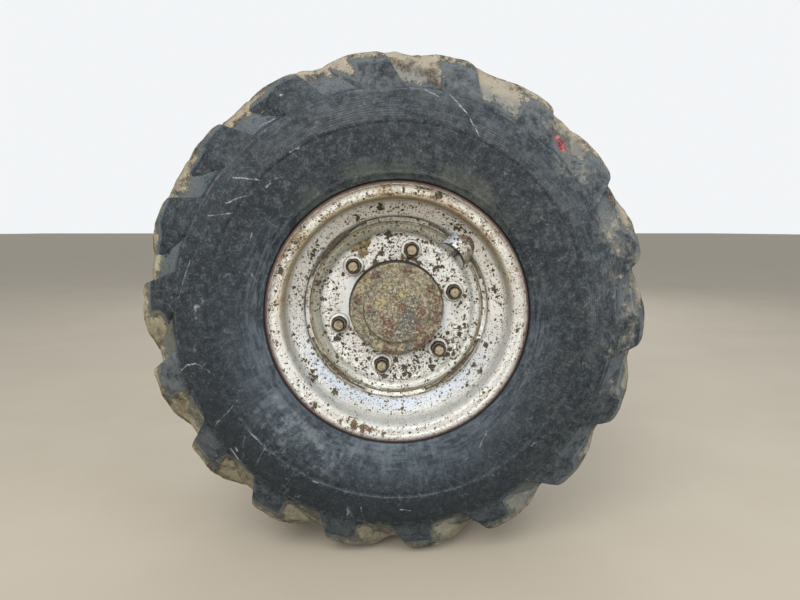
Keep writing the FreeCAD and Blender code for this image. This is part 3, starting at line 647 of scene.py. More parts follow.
# Nuts: round the stud's axis, the smaller of a hexagon and a chamfer's circle at each depth
nutLook = {"count": 6, "first": 14.5, "circle": 137.5, "flats": 17.1,
           "path": [(11.4, 116.8), (18.3, 116.8), (18.4, 113), (18.3, 108), (18.1, 104),
                    (17.7, 101), (17.1, 98.6), (16.4, 96.9), (15.5, 95.7), (14.6, 95.2),
                    (13.7, 95.7), (13, 97.2), (12.5, 100), (12.4, 106)]}
endLook = {"path": [(10.4, 105), (10.6, 98), (10.6, 91), (10.2, 89), (9.2, 87.8), (7.6, 87.3),
                    (5.2, 87.2), (2.4, 87.4), (0.02, 87.5)]}


# lathed: (centre + r(t, a) * (cos a, sin a), depth(t)) round an axis off the axle
def lathed(path, clock, circle, flats, turns, seed, rough):
    a = np.arange(turns) * 2 * math.pi / turns
    radius, depth = np.array(path, float).T
    ring = radius[:, None] + 0 * a[None, :]
    if flats:
        fold = np.mod(a + seed, math.pi / 3) - math.pi / 6
        hexagon = flats / np.cos(fold)
        sides = np.minimum(ring, hexagon[None, :] + 0.25 * (radius[:, None] - 18))
        ring = np.where(radius[:, None] > 12.5, sides, ring)
    c = math.radians(clock)
    out = np.stack([np.cos(a), np.sin(a)], -1)
    x = circle * math.sin(c) + ring * out[None, :, 0]
    z = circle * math.cos(c) + ring * out[None, :, 1]
    points = np.stack([x, lipY + depth[:, None] + 0 * x, z], -1) * 0.001
    worn = lumps(points, 0.008, 3, seed) * rough * np.clip(ring / 6, 0, 1)
    points[..., 0] += out[None, :, 0] * worn * 0.001
    points[..., 2] += out[None, :, 1] * worn * 0.001
    points[..., 1] += lumps(points, 0.009, 3, seed + 7) * rough * 0.0007
    return points


nutGrids, endGrids = [], []
for k in range(nutLook["count"]):
    clock, circle = nutLook["first"] + 60 * k, nutLook["circle"]
    nut = lathed(nutLook["path"], clock, circle, nutLook["flats"], 72, 0.7 + k * 1.3, 0.55)
    end = lathed(endLook["path"], clock, circle, 0, 48, 4 + k * 2.1, 0.5)
    nutGrids.append((nut, False, True, True))
    endGrids.append((end, False, True, True))
nutSet = gridPiece("wornNuts", nutGrids, "wheel")
endSet = gridPiece("studEnds", endGrids, "wheel")
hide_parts("wheel_nuts")

# Hub face: cover, boss, screws and plug under dried mud, as one field of depths over (r, clock)
hubLook = {
    "path": [(0, 73), (30, 73), (60, 73), (71.5, 73.2), (73.6, 74.4), (74.8, 77), (75.6, 82),
             (76.4, 86.2), (78.6, 87.6), (82, 88), (98, 88), (102.6, 88.3), (104.9, 89.4),
             (106.1, 91.5), (106.5, 95), (106.5, 102.5)],
    "screws": 8, "screwCircle": 93, "firstScrew": 15, "screwHigh": 6.5, "screwWide": 9.5,
    "buried": 5, "plugClock": 163.5,
}


# hubFace: depth = path(r) - mud(r, clock) - a mound over each screw
def hubFace():
    path = spaced(np.array(hubLook["path"], float), 1.5)
    turns = 360
    clock = np.arange(turns) * 360 / turns
    radius = path[None, :, 0] + 0 * clock[:, None]
    depth = path[None, :, 1] + 0 * clock[:, None]
    flatly = spot(radius, clock[:, None], 100 + 0 * radius)
    x, z = flatly[..., 0] * 1000, flatly[..., 2] * 1000
    rust, mound = np.zeros(radius.shape), np.zeros(radius.shape)
    face = rise(radius, 104, -6)

    def gapTo(degrees):
        a, circle = math.radians(degrees), hubLook["screwCircle"]
        return np.hypot(x - circle * math.sin(a), z - circle * math.cos(a))

    for k in range(hubLook["screws"]):
        gap = gapTo(hubLook["firstScrew"] + 45 * k) + lumps(flatly, 0.012, 2, k) * 1.6
        high, red = (0.25, 0.1) if k == hubLook["buried"] else (0.8, 1)
        bump = np.exp(-(gap / hubLook["screwWide"]) ** 4) * hubLook["screwHigh"]
        mound = np.maximum(mound, bump * high)
        rust = np.maximum(rust, np.exp(-(gap / 11) ** 2) * red)
    gap = gapTo(hubLook["plugClock"])
    mound = np.maximum(mound, np.exp(-(gap / 8.6) ** 6) * 4.6)
    plug = np.exp(-(gap / 9) ** 4)
    low = 0.5 - 0.5 * np.cos(np.radians(clock))[:, None]
    ring = rise(radius, 74, 3) * rise(radius, 103, -5)
    mud = lumps(flatly, 0.03, 4, 2) * 0.9 + lumps(flatly, 0.009, 3, 8) * 0.45
    mud = mud + ring * (1.2 + 2 * low + 1.6 * low * rise(radius, 86, -9))
    depth = depth - (mud + mound) * face - (1 - face) * mud * 0.25
    radius = radius + rise(radius, 100, 6) * np.clip(lumps(flatly, 0.02, 3, 4), -1, 0.35) * 0.8
    return spot(radius, clock[:, None], depth), rust, plug


hubGrid, hubRust, hubPlug = hubFace()
hubSkin = gridPiece("hubMud", [(hubGrid, True, False, False)], "wheel",
                    {"rust": [hubRust], "plug": [hubPlug]})
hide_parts("hub_cover", "cover_screws", "level_plug")
print("nuts and hub face built")


# Guard over the valve: half a tube lying outwards from the disc, its mouth cut on the slant
guardLook = {"clock": 46.5, "outer": 38, "wall": 5, "base": 122, "feet": 171, "crown": 190,
             # where the rim's slope cuts the tube: (depth, radius)
             "slope": [(80, 239.5), (84, 235), (104, 211), (110, 208), (125, 206)]}


# guard: at angle s round the tube and offset w from its outer skin, across = (outer - w) cos s,
# depth = base - (outer - w) sin s, and the radius runs from the rim's slope back to
# feet + (crown - feet) sin s; the skin turns over a rounded lip and goes back inside
def guardGrid():
    look = guardLook
    s = np.radians(np.linspace(-8, 188, 99))
    mouth = look["feet"] + (look["crown"] - look["feet"]) * np.clip(np.sin(s), 0, 1) ** 0.8
    mouth = mouth + 1.1 * np.sin(s * 7 + 1) * np.sin(s * 3) + 0.6 * np.sin(s * 19)
    slopeDepth, slopeRadius = np.array(look["slope"], float).T
    far = np.interp(look["base"] - look["outer"] * np.sin(s), slopeDepth, slopeRadius) + 1.5
    lipTurn = [(0, 1.2), (0.6, 0.35), (1.8, 0), (3.4, 0.1), (4.5, 0.6), (5, 1.6)]
    rows = [(0, far + (mouth + 1.2 - far) * k / 40) for k in range(40)]
    rows += [(w, mouth + back) for w, back in lipTurn]
    rows += [(look["wall"], mouth + 1.6 + (far - mouth - 1.6) * k / 16) for k in range(1, 17)]
    w = np.array([row[0] for row in rows])[:, None]
    along = np.stack([row[1] for row in rows])
    r = look["outer"] - w + 0 * along
    a = math.radians(look["clock"])
    across, depth = r * np.cos(s)[None, :], look["base"] - r * np.sin(s)[None, :]
    x = along * math.sin(a) + across * math.cos(a)
    z = along * math.cos(a) - across * math.sin(a)
    points = np.stack([x, lipY + depth, z], -1) * 0.001
    dent = lumps(points, 0.03, 3, 6) * 0.9 + lumps(points, 0.008, 2, 2) * 0.25
    points[..., 1] += dent * 0.001 * np.sin(s)[None, :].clip(0, 1)
    bare = rise(along, 209, 12) * np.clip(1.4 - w, 0, 1) * np.clip(np.sin(s)[None, :] * 1.6, 0, 1)
    bare = np.maximum(bare, np.clip(1 - np.abs(w - 2.5) / 2.2, 0, 1) * 0.75)
    return points, np.maximum(bare, np.clip(w - 4.2, 0, 1) * 0.4)


guardPoints, guardBare = guardGrid()
guardShell = gridPiece("guardShell", [(guardPoints, False, False, False)], "wheel",
                       {"bare": [guardBare], "shell": [guardBare * 0 + 1]})
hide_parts("valve_guard")

# Soil packed in the slots between the disc's corners and the rim, gone at one place
slotLook = {"path": [(190, 117), (196, 114.5), (201, 113), (206, 112), (210, 111)],
            "openFrom": 333.5, "openTo": 341}


# slotSoil: the path carried round, its depth = path + open place * 26 + lumps, so that it sinks
# behind the disc where the slot is open
def slotSoil():
    path = spaced(np.array(slotLook["path"], float), 2)
    clock = np.arange(720)[:, None] * 0.5
    first, last = slotLook["openFrom"], slotLook["openTo"]
    gone = np.clip(1.8 - np.abs(clock - (first + last) / 2) * 2 / (last - first), 0, 1)
    radius, depth = path[None, :, 0] + 0 * clock, path[None, :, 1] + 0 * clock
    depth = depth + lumps(spot(radius, clock, depth), 0.014, 3, 1) * 1.6 + gone * 26
    return spot(radius, clock, depth)


slotFill = gridPiece("slotSoil", [(slotSoil(), True, False, False)], "wheel")
print("guard and slot soil built")


# Paint: silver white with chips, rust in and round them, dirt where it gathers
paintLook = {
    # chips and rust patches that stand out, as round marks that overlap: clock, radius, size
    "chips": [(303, 224, 7), (305.5, 225, 6), (337, 223, 6), (79, 225, 6), (351, 232, 6),
              (217, 235, 5), (231, 241, 6), (233.5, 239, 5), (127, 238, 4), (126, 223, 4),
              (112, 224, 4), (19, 264, 7), (335.5, 116, 6), (354, 168, 7), (242, 158, 7),
              (129, 161, 6), (169, 163, 5), (173, 163, 6), (150, 166, 6), (173, 145, 6),
              (46, 129, 6), (291, 262, 6), (222, 267, 6), (288, 189, 6), (345, 131, 5),
              (158, 127, 5), (148, 164, 5), (277, 171, 5), (35.5, 225, 6), (38, 229, 4),
              (32.5, 227, 4), (41, 231, 4)],
    "rust": [(187, 263, 3), (190, 265, 4), (193, 262, 5), (197, 262, 8), (201, 262, 9),
             (205, 259, 5), (208, 263, 3), (8, 115, 5), (14, 116, 7), (21, 117, 8), (28, 115, 5),
             (275, 206, 4)],
    "stain": [(327, 171, 10), (331, 170, 11), (335, 167, 10), (338, 181, 6), (324, 182, 6),
              (330, 150, 8)],
    "studs": [(14.5 + 60 * k, 137.5, 0) for k in range(6)],
}


def paintFinish():
    finish, p = newFinish("chippedPaint")
    radius, depth, around, near, flat = polar(p)
    cloudy, patchy = p.noise(13, 5, 0.6), p.noise(38, 6, 0.64)
    mottle, fine, blotch = p.noise(120, 6, 0.72), p.noise(330, 4, 0.7), p.noise(26, 7, 0.72)
    # drawn out along the axle on the walls, and round the wheel on the rings
    runs = drawn(around, 0.25, depth * 0.00025).noise(130, 6, 0.68)
    rings = drawn(around, 0.05, radius * 0.001 + depth * 0.001).noise(110, 5, 0.66)

    # chips: cells of a bent lattice, each with a chip of its own size, a few of them large
    bent = p.bent(95, 0.007, 5)

    def chips(perMetre, cover):
        cell = {"Vector": bent, "Scale": perMetre}
        far = p.node("ShaderNodeTexVoronoi", {}, cell, 0)
        pick = p.node("ShaderNodeTexVoronoi", {}, cell, 1)
        pick = p.node("ShaderNodeSeparateColor", {}, {0: pick}, 0)
        size = pick * pick * cover - far
        return size.ramp(-0.02, 0.04), size.ramp(-0.2, 0.05)

    wall = within(radius, 243, 251.5, 1.5) * depth.ramp(8, 13)
    slope = within(radius, 212, 241, 3) * within(depth, 74, 108, 3)
    discFlat = radius.ramp(176, 171) * depth.ramp(100, 115)
    lip = radius.ramp(273, 277.5)
    flange = radius.ramp(250, 254)
    above = near(350, 35, 120)
    lowRight = near(150, 20, 75)

    shell, crown = p.mark("shell"), p.mark("bare")
    crowd = patchy * 0.9 + cloudy * 0.9 + mottle * 0.3 - 0.24
    crowd = crowd + discFlat * (near(165, 25, 75) * 0.3 + near(0, 20, 50) * 0.08 + 0.12)
    crowd = crowd + flange * near(320, 40, 110) * 0.12 - wall * 0.25 + slope * above * 0.04
    crowd = crowd - radius.ramp(136, 122) * near(283, 22, 40).top(near(104, 12, 24)) * 0.5
    crowd = crowd + shell * (near(45, 3, 7) * 0.4 - 0.1)
    small, smallHalo = chips(160, (crowd - flange * 0.13 - slope * 0.05 + discFlat * 0.03) * 0.7)
    large, largeHalo = chips(74, (crowd - flange * 0.26 - slope * 0.2 - wall * 0.3) * 0.46)
    specks, speckHalo = chips(340, (crowd - discFlat * 0.1) * 0.76)
    marks = (nearest(flat, paintLook["chips"]) + mottle * 34 + patchy * 22 - 28.5).ramp(0.5, -0.5)
    bare = small.top(large).top(specks * 0.8).top(marks)

    # paint: cream white in front, greyed on what faces down, partly a film of dirt and partly
    # painted shade, and painted reflection, grey and bluish, on what faces up
    colour = mixed((cloudy + mottle - 0.5).ramp(0.3, 0.62), (0.44, 0.435, 0.4),
                   (0.575, 0.575, 0.555))
    # painted reflection on the slope at the lower right and bottom: grey, and a bluish band of sky
    colour.coat(lowRight.top(near(185, 30, 70)) * slope * 0.7, (0.335, 0.35, 0.36))
    colour.coat(slope * near(185, 40, 80) * within(radius, 214, 229, 6) * 0.65,
                (0.35, 0.405, 0.49))
    colour.coat(flange * near(150, 45, 95) * 0.4, (0.35, 0.345, 0.33))
    clean = radius.ramp(134, 120) * near(283, 22, 44).top(near(104, 14, 28))
    colour.coat(clean * 0.7, (0.5, 0.53, 0.545))
    # the flange greyed, more at the top: partly a film of dirt, partly painted shade
    film = mixed(above, (0.4, 0.395, 0.375), (0.44, 0.415, 0.355))
    colour.coat(flange * (0.25 + above * 0.35), film)
    colour.coat(flange * (patchy + mottle * 0.6).ramp(0.76, 0.92) * 0.5, (0.58, 0.575, 0.54))
    # the slope lightened at the top: painted light against the shade that falls there
    colour.coat(slope * near(5, 60, 130) * 0.7, (0.62, 0.6, 0.555))
    colour.coat(mottle.ramp(0.54, 0.7) * 0.35, (0.31, 0.28, 0.21))
    colour.coat(patchy.ramp(0.52, 0.7) * 0.25, (0.38, 0.335, 0.24))
    inner = within(radius, 246, 258, 5)
    stained = (blotch * 0.7 + mottle * 0.5 + above * 0.03 + inner * 0.07).ramp(0.59, 0.72)
    stained = flange * (0.25 + above * 0.75) * stained
    brown = mixed(mottle.ramp(0.46, 0.58), (0.27, 0.2, 0.115), (0.13, 0.088, 0.045))
    colour.coat(stained * 0.75, brown)
    # brown on the slope at the top: partly stains, partly painted shade and the ground's brown
    # reflection
    stained = slope * above * (blotch * 0.7 + mottle * 0.5).ramp(0.61, 0.76)
    brown = mixed(mottle.ramp(0.48, 0.6), (0.35, 0.285, 0.185), (0.17, 0.125, 0.07))
    colour.coat(stained * 0.6, brown)
    ochre = (nearest(flat, paintLook["stain"]) + blotch * 34 + mottle * 30 - 38).ramp(3, -4)
    brown = mixed(mottle.ramp(0.48, 0.54), (0.105, 0.068, 0.026), (0.24, 0.175, 0.085))
    colour.coat(ochre * 0.95, brown)
    # the seat's wall: dirty from the flange inwards, grey below; brown above, partly dirt and
    # partly painted shade with the ground's brown reflection in it
    outerWall = wall * (depth + (runs - 0.5) * 34).ramp(60, 46)
    wallDirtAndShade = mixed(near(350, 60, 120), (0.3, 0.31, 0.3), (0.27, 0.235, 0.155))
    wallDirtAndShade.coat((runs * 0.6 + blotch * 0.6).ramp(0.54, 0.68) * near(345, 65, 115),
              (0.24, 0.145, 0.055))
    wallDirtAndShade.coat(runs.ramp(0.56, 0.7) * near(350, 60, 120) * 0.7, (0.105, 0.078, 0.04))
    colour.coat(outerWall * (0.62 + near(350, 60, 120) * 0.32), wallDirtAndShade)
    innerWall = wall * depth.ramp(44, 60) * near(345, 55, 110)
    colour.coat(innerWall * (0.5 + runs.ramp(0.45, 0.6) * 0.4), (0.36, 0.32, 0.25))
    colour.coat(wall * runs.ramp(0.55, 0.68) * 0.5, (0.22, 0.19, 0.14))
    # rings: on the crest, painted shade on its inner slope all round, and grey green at the top
    # left, partly dirt and partly painted shade; grime in the valley outside it; greyer at the
    # well's foot
    crest = within(radius, 175, 195, 2) * within(depth, 98, 121, 2)
    colour.coat(crest * near(320, 75, 130) * (0.55 + rings * 0.7).clamped() * 0.9,
                mixed(mottle.ramp(0.5, 0.62), (0.19, 0.19, 0.145), (0.1, 0.09, 0.06)))
    colour.coat(crest * near(290, 50, 90) * (0.35 + mottle * 0.4), (0.17, 0.17, 0.125))
    colour.coat(crest * near(110, 60, 90) * 0.45, (0.33, 0.34, 0.325))
    # the crest's inner slope greyed all round: painted shade
    slant = within(radius, 173, 181, 2) * depth.ramp(104, 110)
    colour.coat(slant * (0.25 + rings * 0.5), (0.24, 0.25, 0.22))
    strips = within(radius, 201, 209, 1.5) * within(depth, 96, 116, 3)
    colour.coat(strips * near(0, 60, 110) * (0.35 + mottle * 0.6) * 0.8, (0.25, 0.235, 0.17))
    colour.coat(strips * patchy.ramp(0.5, 0.6) * 0.45, (0.22, 0.2, 0.15))
    valley = within(radius, 191.5, 200, 1.6) * depth.ramp(100, 104)
    colour.coat(valley * (rings + mottle * 0.5).ramp(0.45, 0.75), (0.155, 0.14, 0.09))
    foot = within(radius, 206.5, 214, 2.2) * within(depth, 95, 118, 3)
    colour.coat(foot * (0.35 + rings * 0.7).clamped() * 0.75, (0.27, 0.28, 0.26))
    seam = within(radius, 209.2, 211.2, 0.5).top(within(radius, 197.6, 199.4, 0.5))
    seam = seam * depth.ramp(98, 102) * (rings + patchy * 0.4).ramp(0.5, 0.8)
    colour.coat(seam * 0.9, (0.05, 0.042, 0.028))
    # a dark line round each seat ring
    toStud = nearest(flat, paintLook["studs"])
    studs = depth.ramp(105, 112)
    bare = bare * (1 - toStud.ramp(24, 21) * studs * 0.85)
    colour.coat(within(toStud, 0, 22.6, 0.8) * studs * 0.7, (0.62, 0.62, 0.58))
    colour.coat(within(toStud + (mottle - 0.5) * 2, 23.2, 24.8, 0.5) * studs * 0.75,
                (0.085, 0.075, 0.055))
    # rust
    rustHere = lip * 0.2 + within(radius, 248.5, 255, 1.5) * 0.1 * above - 0.08
    rustHere = rustHere + radius.ramp(121, 107) * 0.2 + flange * above * 0.06
    spots = nearest(flat, paintLook["rust"]) + mottle * 46 + patchy * 30 - 39
    rusting = (blotch + rustHere).ramp(0.6, 0.68).top(spots.ramp(0.8, -0.8))
    rust = mixed(mottle.ramp(0.42, 0.6), (0.105, 0.066, 0.036), (0.048, 0.033, 0.023))
    rust.coat(patchy.ramp(0.55, 0.66) * 0.5, (0.2, 0.125, 0.06))
    halo = (smallHalo * 0.22).top(largeHalo * 0.34).top(speckHalo * 0.14).top(marks * 0.4)
    halo = halo.top((blotch + rustHere).ramp(0.52, 0.62) * 0.55)
    colour.coat(halo, (0.4, 0.315, 0.2))
    colour.coat(bare, mixed(mottle.ramp(0.5, 0.62), (0.037, 0.031, 0.017), (0.092, 0.074, 0.04)))
    colour.coat(rusting, rust)
    edge = radius.ramp(271, 274.8) * (0.62 + near(330, 60, 130) * 0.25 + mottle * 0.4)
    edge = edge.clamped()
    lipRust = mixed(patchy.ramp(0.45, 0.6), (0.105, 0.062, 0.046), (0.055, 0.032, 0.025))
    colour.coat(edge * 0.95, lipRust)
    colour.coat(radius.ramp(276.2, 277.4) * 0.93, (0.03, 0.02, 0.018))
    # the guard: bluish on its left, which faces up, a painted sky light; grey brown on its right,
    # which faces down, painted shade; rust on its crown; and at its mouth a painted shadow, a grey
    # zone and a dark line
    outX, _, outZ = centre(guardLook["clock"], 1)
    across = flat.vector("DOT_PRODUCT", (outZ, 0, -outX), 1) / guardLook["outer"]
    along = flat.vector("DOT_PRODUCT", (outX, 0, outZ), 1)
    # bluish on the left side, which faces up to the sky: painted sky light
    colour.coat(shell.top(within(radius, 200, 218, 5) * 0.8) * near(35, 2, 9) * (1 - bare) * 0.9,
                mixed(mottle.ramp(0.45, 0.6), (0.4, 0.45, 0.52), (0.52, 0.57, 0.62)))
    # grey brown on the right side, which faces down: painted shade
    colour.coat(shell * near(58, 5, 9) * (0.5 + patchy * 0.8).clamped(),
                mixed(mottle.ramp(0.45, 0.6), (0.2, 0.175, 0.13), (0.34, 0.31, 0.25)))
    worn = (crown + (patchy - 0.5) * 2.4 + (mottle - 0.5) * 2.2).ramp(0.38, 0.62)
    worn = worn * crown.ramp(0.02, 0.2)
    steel = mixed(mottle.ramp(0.48, 0.6), (0.115, 0.068, 0.046), (0.26, 0.195, 0.145))
    pits = mottle.ramp(0.48, 0.43).top(patchy.ramp(0.5, 0.42))
    steel.coat(pits * 0.85, (0.035, 0.026, 0.021))
    colour.coat(worn * 0.95, steel)
    arch = guardLook["crown"] - guardLook["feet"]
    mouth = along - (1 - across * across).top(0) ** 0.4 * arch - guardLook["feet"]
    under = across.size().ramp(1.08, 1) * radius.ramp(160, 164)
    # a grey zone on the disc just inside the mouth and a dark line along it: painted shadow of the
    # guard
    colour.coat(within(mouth, -14, 0, 2) * under * 0.55, (0.25, 0.26, 0.245))
    colour.coat(within(mouth + (mottle - 0.5) * 3, -2.2, 1.6, 0.7) * under * 0.9,
                (0.03, 0.026, 0.02))
    dull = bare.top(rusting).top(worn).top(outerWall * 0.6).top(valley * 0.8)
    dull = dull.top(edge).top(ochre)
    height = 0.22 * (1 - bare) + mottle * 0.16 + fine * 0.05
    height = height + rusting.top(worn) * mottle * 0.8 + rings * 0.25 * valley
    closeFinish(p, colour, 0.42 + dull * 0.36 + mottle * 0.14, height, 0.14 * (1 - dull))
    return finish


paint = paintFinish()
for name in ("rim", "wheel_disc", "disc_welds", "valve_guard", "seat_rings"):
    dress(nodes[name], paint)
dress(guardShell, paint)


# Dried mud over the hub: khaki, with rust red at the screws and slate where the casting shows
hubMarks = {
    # clock, radius, half width round and half height, on the hub's face
    "red": [(60, 14, 17, 9), (95, 52, 16, 12), (215, 36, 20, 8), (200, 56, 12, 10),
            (96, 92, 14, 8), (350, 28, 9, 8), (185, 100, 12, 6), (140, 98, 26, 8), (78, 97, 12, 8),
            (128, 60, 16, 10), (270, 62, 6, 14)],
    "slate": [(118, 28, 22, 12), (165, 52, 20, 12), (134, 44, 16, 12), (225, 92, 14, 9),
              (350, 44, 12, 6), (262, 60, 7, 18), (60, 47, 10, 8), (150, 32, 14, 7)],
    "sand": [(205, 90, 34, 10), (175, 88, 30, 9), (300, 40, 18, 14), (310, 92, 24, 9),
             (130, 82, 18, 8), (20, 34, 16, 10)],
}


def mudFinish():
    finish, p = newFinish("driedMud")
    radius, _, _, near, flat = polar(p)
    cloudy, patchy = p.noise(26, 6, 0.66), p.noise(62, 6, 0.7)
    mottle, fine = p.noise(150, 6, 0.76), p.noise(330, 5, 0.74)
    rustMark, plugMark = p.mark("rust"), p.mark("plug")
    hubZone = radius.ramp(112, 108)

    def daubs(name, low, high):
        found = None
        for place in hubMarks[name]:
            mark = (oval(flat, *place) + patchy * 4.4 + mottle * 3.4 - 3.9).ramp(high, low)
            found = mark if found is None else found.top(mark)
        return found * hubZone

    colour = mixed(cloudy.ramp(0.38, 0.62), (0.205, 0.17, 0.105), (0.165, 0.152, 0.112))
    colour.coat(daubs("sand", 0.5, 1.3) * 0.75, (0.3, 0.235, 0.115))
    colour.coat(patchy.ramp(0.5, 0.57) * 0.7, (0.11, 0.116, 0.082))
    lowBoss = radius.ramp(76, 70) * near(160, 35, 105) * hubZone
    colour.coat(lowBoss * (patchy * 0.6 + mottle * 0.5).ramp(0.5, 0.6) * 0.55,
                (0.085, 0.065, 0.048))
    colour.coat(mottle.ramp(0.51, 0.6) * 0.75, (0.37, 0.335, 0.25))
    colour.coat(mottle.ramp(0.49, 0.41) * 0.8, (0.062, 0.05, 0.034))
    red = (p.noise(48, 6, 0.74) + rustMark * 0.22).ramp(0.555, 0.64).top(daubs("red", 0.7, 1.3))
    rust = mixed(mottle.ramp(0.47, 0.57), (0.06, 0.033, 0.024), (0.18, 0.1, 0.068))
    colour.coat(red * 0.85, rust)
    slate = daubs("slate", 0.7, 1.25)
    stone = mixed(mottle.ramp(0.51, 0.58), (0.052, 0.056, 0.052), (0.31, 0.32, 0.3))
    colour.coat(slate * (0.62 + patchy.ramp(0.46, 0.54) * 0.3), stone)
    colour.coat(fine.ramp(0.55, 0.64) * 0.38, (0.44, 0.41, 0.33))
    colour.coat(fine.ramp(0.46, 0.38) * 0.55, (0.045, 0.036, 0.026))
    cracks = flat.bent(40, 0.006).noise(0.038, 3, 0.6).thread(0.018, 0.006)
    cracks = cracks * cloudy.ramp(0.44, 0.54) * hubZone
    colour.coat(cracks * 0.65, (0.045, 0.04, 0.034))
    steel = mixed(mottle.ramp(0.45, 0.6), (0.05, 0.056, 0.062), (0.15, 0.155, 0.155))
    colour.coat(plugMark.ramp(0.35, 0.6) * 0.92, steel)
    # a dark line round the boss's edge, strongest at the bottom and left: painted shadow under the
    # boss
    line = (0.12 + near(190, 35, 105) * 0.5 + near(262, 14, 26) * 0.7).clamped()
    line = within(radius, 73.8, 75.8, 0.8) * line * (patchy + cloudy * 0.5).ramp(0.58, 0.72)
    colour.coat(line, (0.035, 0.031, 0.026))
    # the hub's outer edge darkened, more at the top: painted shade in the gap against the disc's
    # bore
    colour.coat(radius.ramp(104.3, 106) * hubZone * (0.45 + near(350, 35, 105) * 0.45),
                (0.036, 0.03, 0.024))
    height = mottle * 2.2 + patchy * 2.4 + fine * 0.5
    closeFinish(p, colour, 0.8 + mottle * 0.18, height, shine=0.3)
    return finish


mudCrust = mudFinish()
dress(nodes["hub"], mudCrust)
dress(hubSkin, mudCrust)


# Packed soil of the slots
def soilFinish():
    finish, p = newFinish("packedSoil")
    mottle = p.noise(150, 6, 0.74)
    colour = mixed(mottle.ramp(0.45, 0.65), (0.055, 0.043, 0.028), (0.17, 0.145, 0.1))
    closeFinish(p, colour, 0.9 + mottle * 0.1, mottle * 2)
    return finish


dress(slotFill, soilFinish())


# Rust on nuts and studs, with dust on what faces out
def rustFinish(name, dark, light, dust, dustFrom, dustTo):
    finish, p = newFinish(name)
    depth = polar(p)[1]
    cloudy = p.noise(60, 5, 0.65)
    mottle = p.noise(210, 6, 0.74)
    colour = mixed(cloudy.ramp(0.38, 0.62), dark, light)
    colour.coat(depth.ramp(dustTo, dustFrom) * (mottle + cloudy * 0.6).ramp(0.55, 0.9), dust)
    colour.coat(mottle.ramp(0.48, 0.36) * 0.75, (0.03, 0.022, 0.015))
    closeFinish(p, colour, 0.8 + mottle * 0.18, mottle * 1.2 + cloudy * 0.6, shine=0.3)
    return finish


nutRust = rustFinish("nutRust", (0.026, 0.02, 0.014), (0.06, 0.045, 0.028), (0.125, 0.102, 0.068),
                     95, 97)
endRust = rustFinish("endDust", (0.085, 0.064, 0.038), (0.14, 0.112, 0.07), (0.27, 0.225, 0.15),
                     88.5, 92)
dress(nutSet, nutRust)
dress(endSet, endRust)
for name in ("wheel_studs", "cover_screws", "level_plug", "wheel_nuts", "hub_cover"):
    dress(nodes[name], nutRust)


# Plainer finishes of the inboard side
def simpleFinish(name, first, second, roughness, metallic=0):
    finish, p = newFinish(name)
    cloudy = p.noise(18, 6, 0.68)
    fine = p.noise(200, 5, 0.68)
    colour = mixed((cloudy * 0.7 + fine * 0.3).ramp(0.44, 0.62), first, second)
    colour.coat(fine.ramp(0.44, 0.36) * 0.6, tuple(c * 0.5 for c in first))
    closeFinish(p, colour, roughness + fine * 0.2, fine * 0.4 + cloudy * 0.5, metallic)
    return finish


darkPaint = simpleFinish("darkPaint", (0.04, 0.043, 0.046), (0.15, 0.135, 0.11), 0.6)
machined = simpleFinish("machinedSteel", (0.4, 0.4, 0.39), (0.28, 0.25, 0.21), 0.3, 0.9)
sealRubber = simpleFinish("sealRubber", (0.02, 0.02, 0.021), (0.05, 0.045, 0.04), 0.6)
dress(nodes["axle_arm"], darkPaint)
for name in ("spindle", "half_shaft"):
    dress(nodes[name], machined)
for name in ("hub_seal", "shaft_seal", "valve_stem", "valve_cap", "tyre"):
    dress(nodes[name], sealRubber)
print("finishes on")

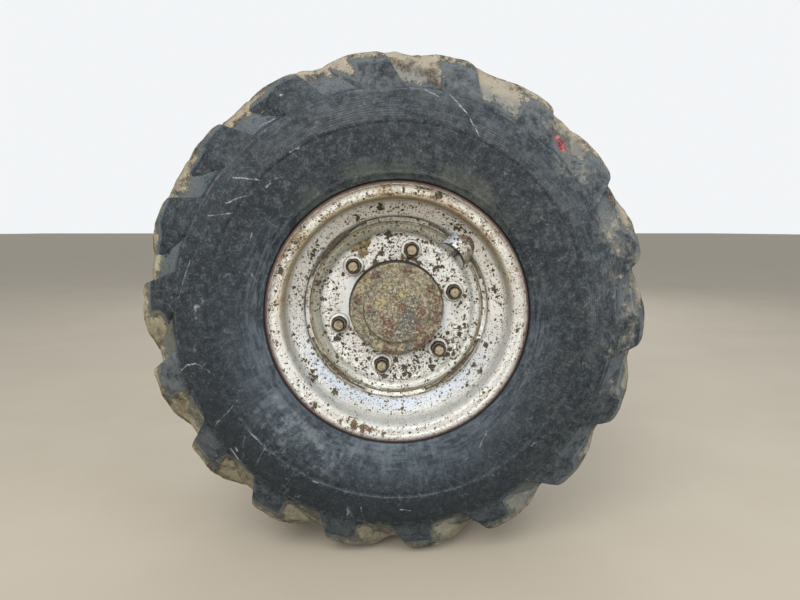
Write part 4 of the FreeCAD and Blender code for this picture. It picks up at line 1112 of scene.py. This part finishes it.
# Floor, light and camera: metres, degrees and watts
stageLook = {
    "floorBelow": 0.001, "floorX": (-60, 60), "floorY": (-20, 100),
    "floorColours": ((0.325, 0.285, 0.225), (0.372, 0.332, 0.268)),
    # the sky's colour, its strength as seen, and what it lights with below and above
    "sky": (0.96, 0.98, 1), "seen": 0.93, "below": 0.22, "above": 0.62,
    # name, place, target, width, power, colour
    "lamps": [("skyPanel", (-1.5, -3.6, 3.6), (0, -0.4, 0), 3, 165, (1, 0.98, 0.95)),
              ("frontPanel", (-0.9, -4.6, 1.5), (0, -0.4, 0), 2.6, 140, (1, 0.99, 0.97)),
              ("sidePanel", (2.6, -2.4, 1), (0, -0.4, 0), 2, 55, (0.93, 0.97, 1)),
              ("backPanel", (0.8, 4.4, 2.2), (0, -0.2, 0), 3, 90, (0.96, 0.98, 1))],
    "lens": 25.2, "film": 36, "eye": (-0.033, -1.73, 0.18), "down": 7.2, "right": 1.85,
}


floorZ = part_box("tyre")[0].z - stageLook["floorBelow"]
west, east = stageLook["floorX"]
south, north = stageLook["floorY"]
floorMesh = bpy.data.meshes.new("floor")
floorMesh.from_pydata([(x, y, floorZ) for x, y in ((west, south), (east, south), (east, north),
                                                   (west, north))], [], [(0, 1, 2, 3)])
floor = placed("floor", floorMesh)
floorFinish, p = newFinish("paleFloor")
closeFinish(p, mixed(p.noise(3, 4), *stageLook["floorColours"]), 0.9)
dress(floor, floorFinish)

# the sky is even where it is seen, and lights more from above
world = bpy.data.worlds.new("softSky")
bpy.context.scene.world = world
world.use_nodes = True
sky = world.node_tree
sky.nodes.clear()
direction = Wire(sky, sky.nodes.new("ShaderNodeTexCoord").outputs["Generated"])
ray = sky.nodes.new("ShaderNodeLightPath").outputs
up = direction.node("ShaderNodeSeparateXYZ", {}, {0: direction}, 2)
camera, glossy, through = (Wire(sky, ray[f"Is {kind} Ray"])
                           for kind in ("Camera", "Glossy", "Transmission"))
shown = camera.top(glossy).top(through)
lit = up.ramp(-0.3, 0.9) * stageLook["above"] + stageLook["below"]
glow = direction.node("ShaderNodeBackground", {}, {
    "Color": stageLook["sky"], "Strength": lit * (1 - shown) + shown * stageLook["seen"]})
direction.node("ShaderNodeOutputWorld", {}, {"Surface": glow})

for name, place, target, width, watts, colour in stageLook["lamps"]:
    lamp = bpy.data.lights.new(name, "AREA")
    lamp.shape, lamp.size, lamp.energy, lamp.color = "DISK", width, watts, colour
    holder = placed(name, lamp)
    holder.location = place
    holder.rotation_euler = (Vector(target) - Vector(place)).to_track_quat("-Z", "Y").to_euler()

camera = bpy.data.cameras.new("photoView")
camera.lens, camera.sensor_width = stageLook["lens"], stageLook["film"]
eye = placed("photoView", camera)
eye.location = stageLook["eye"]
eye.rotation_euler = Euler((math.radians(90 - stageLook["down"]), 0,
                            math.radians(-stageLook["right"])))
bpy.context.scene.camera = eye
bpy.context.scene.view_settings.view_transform = "Standard"
print("stage set")
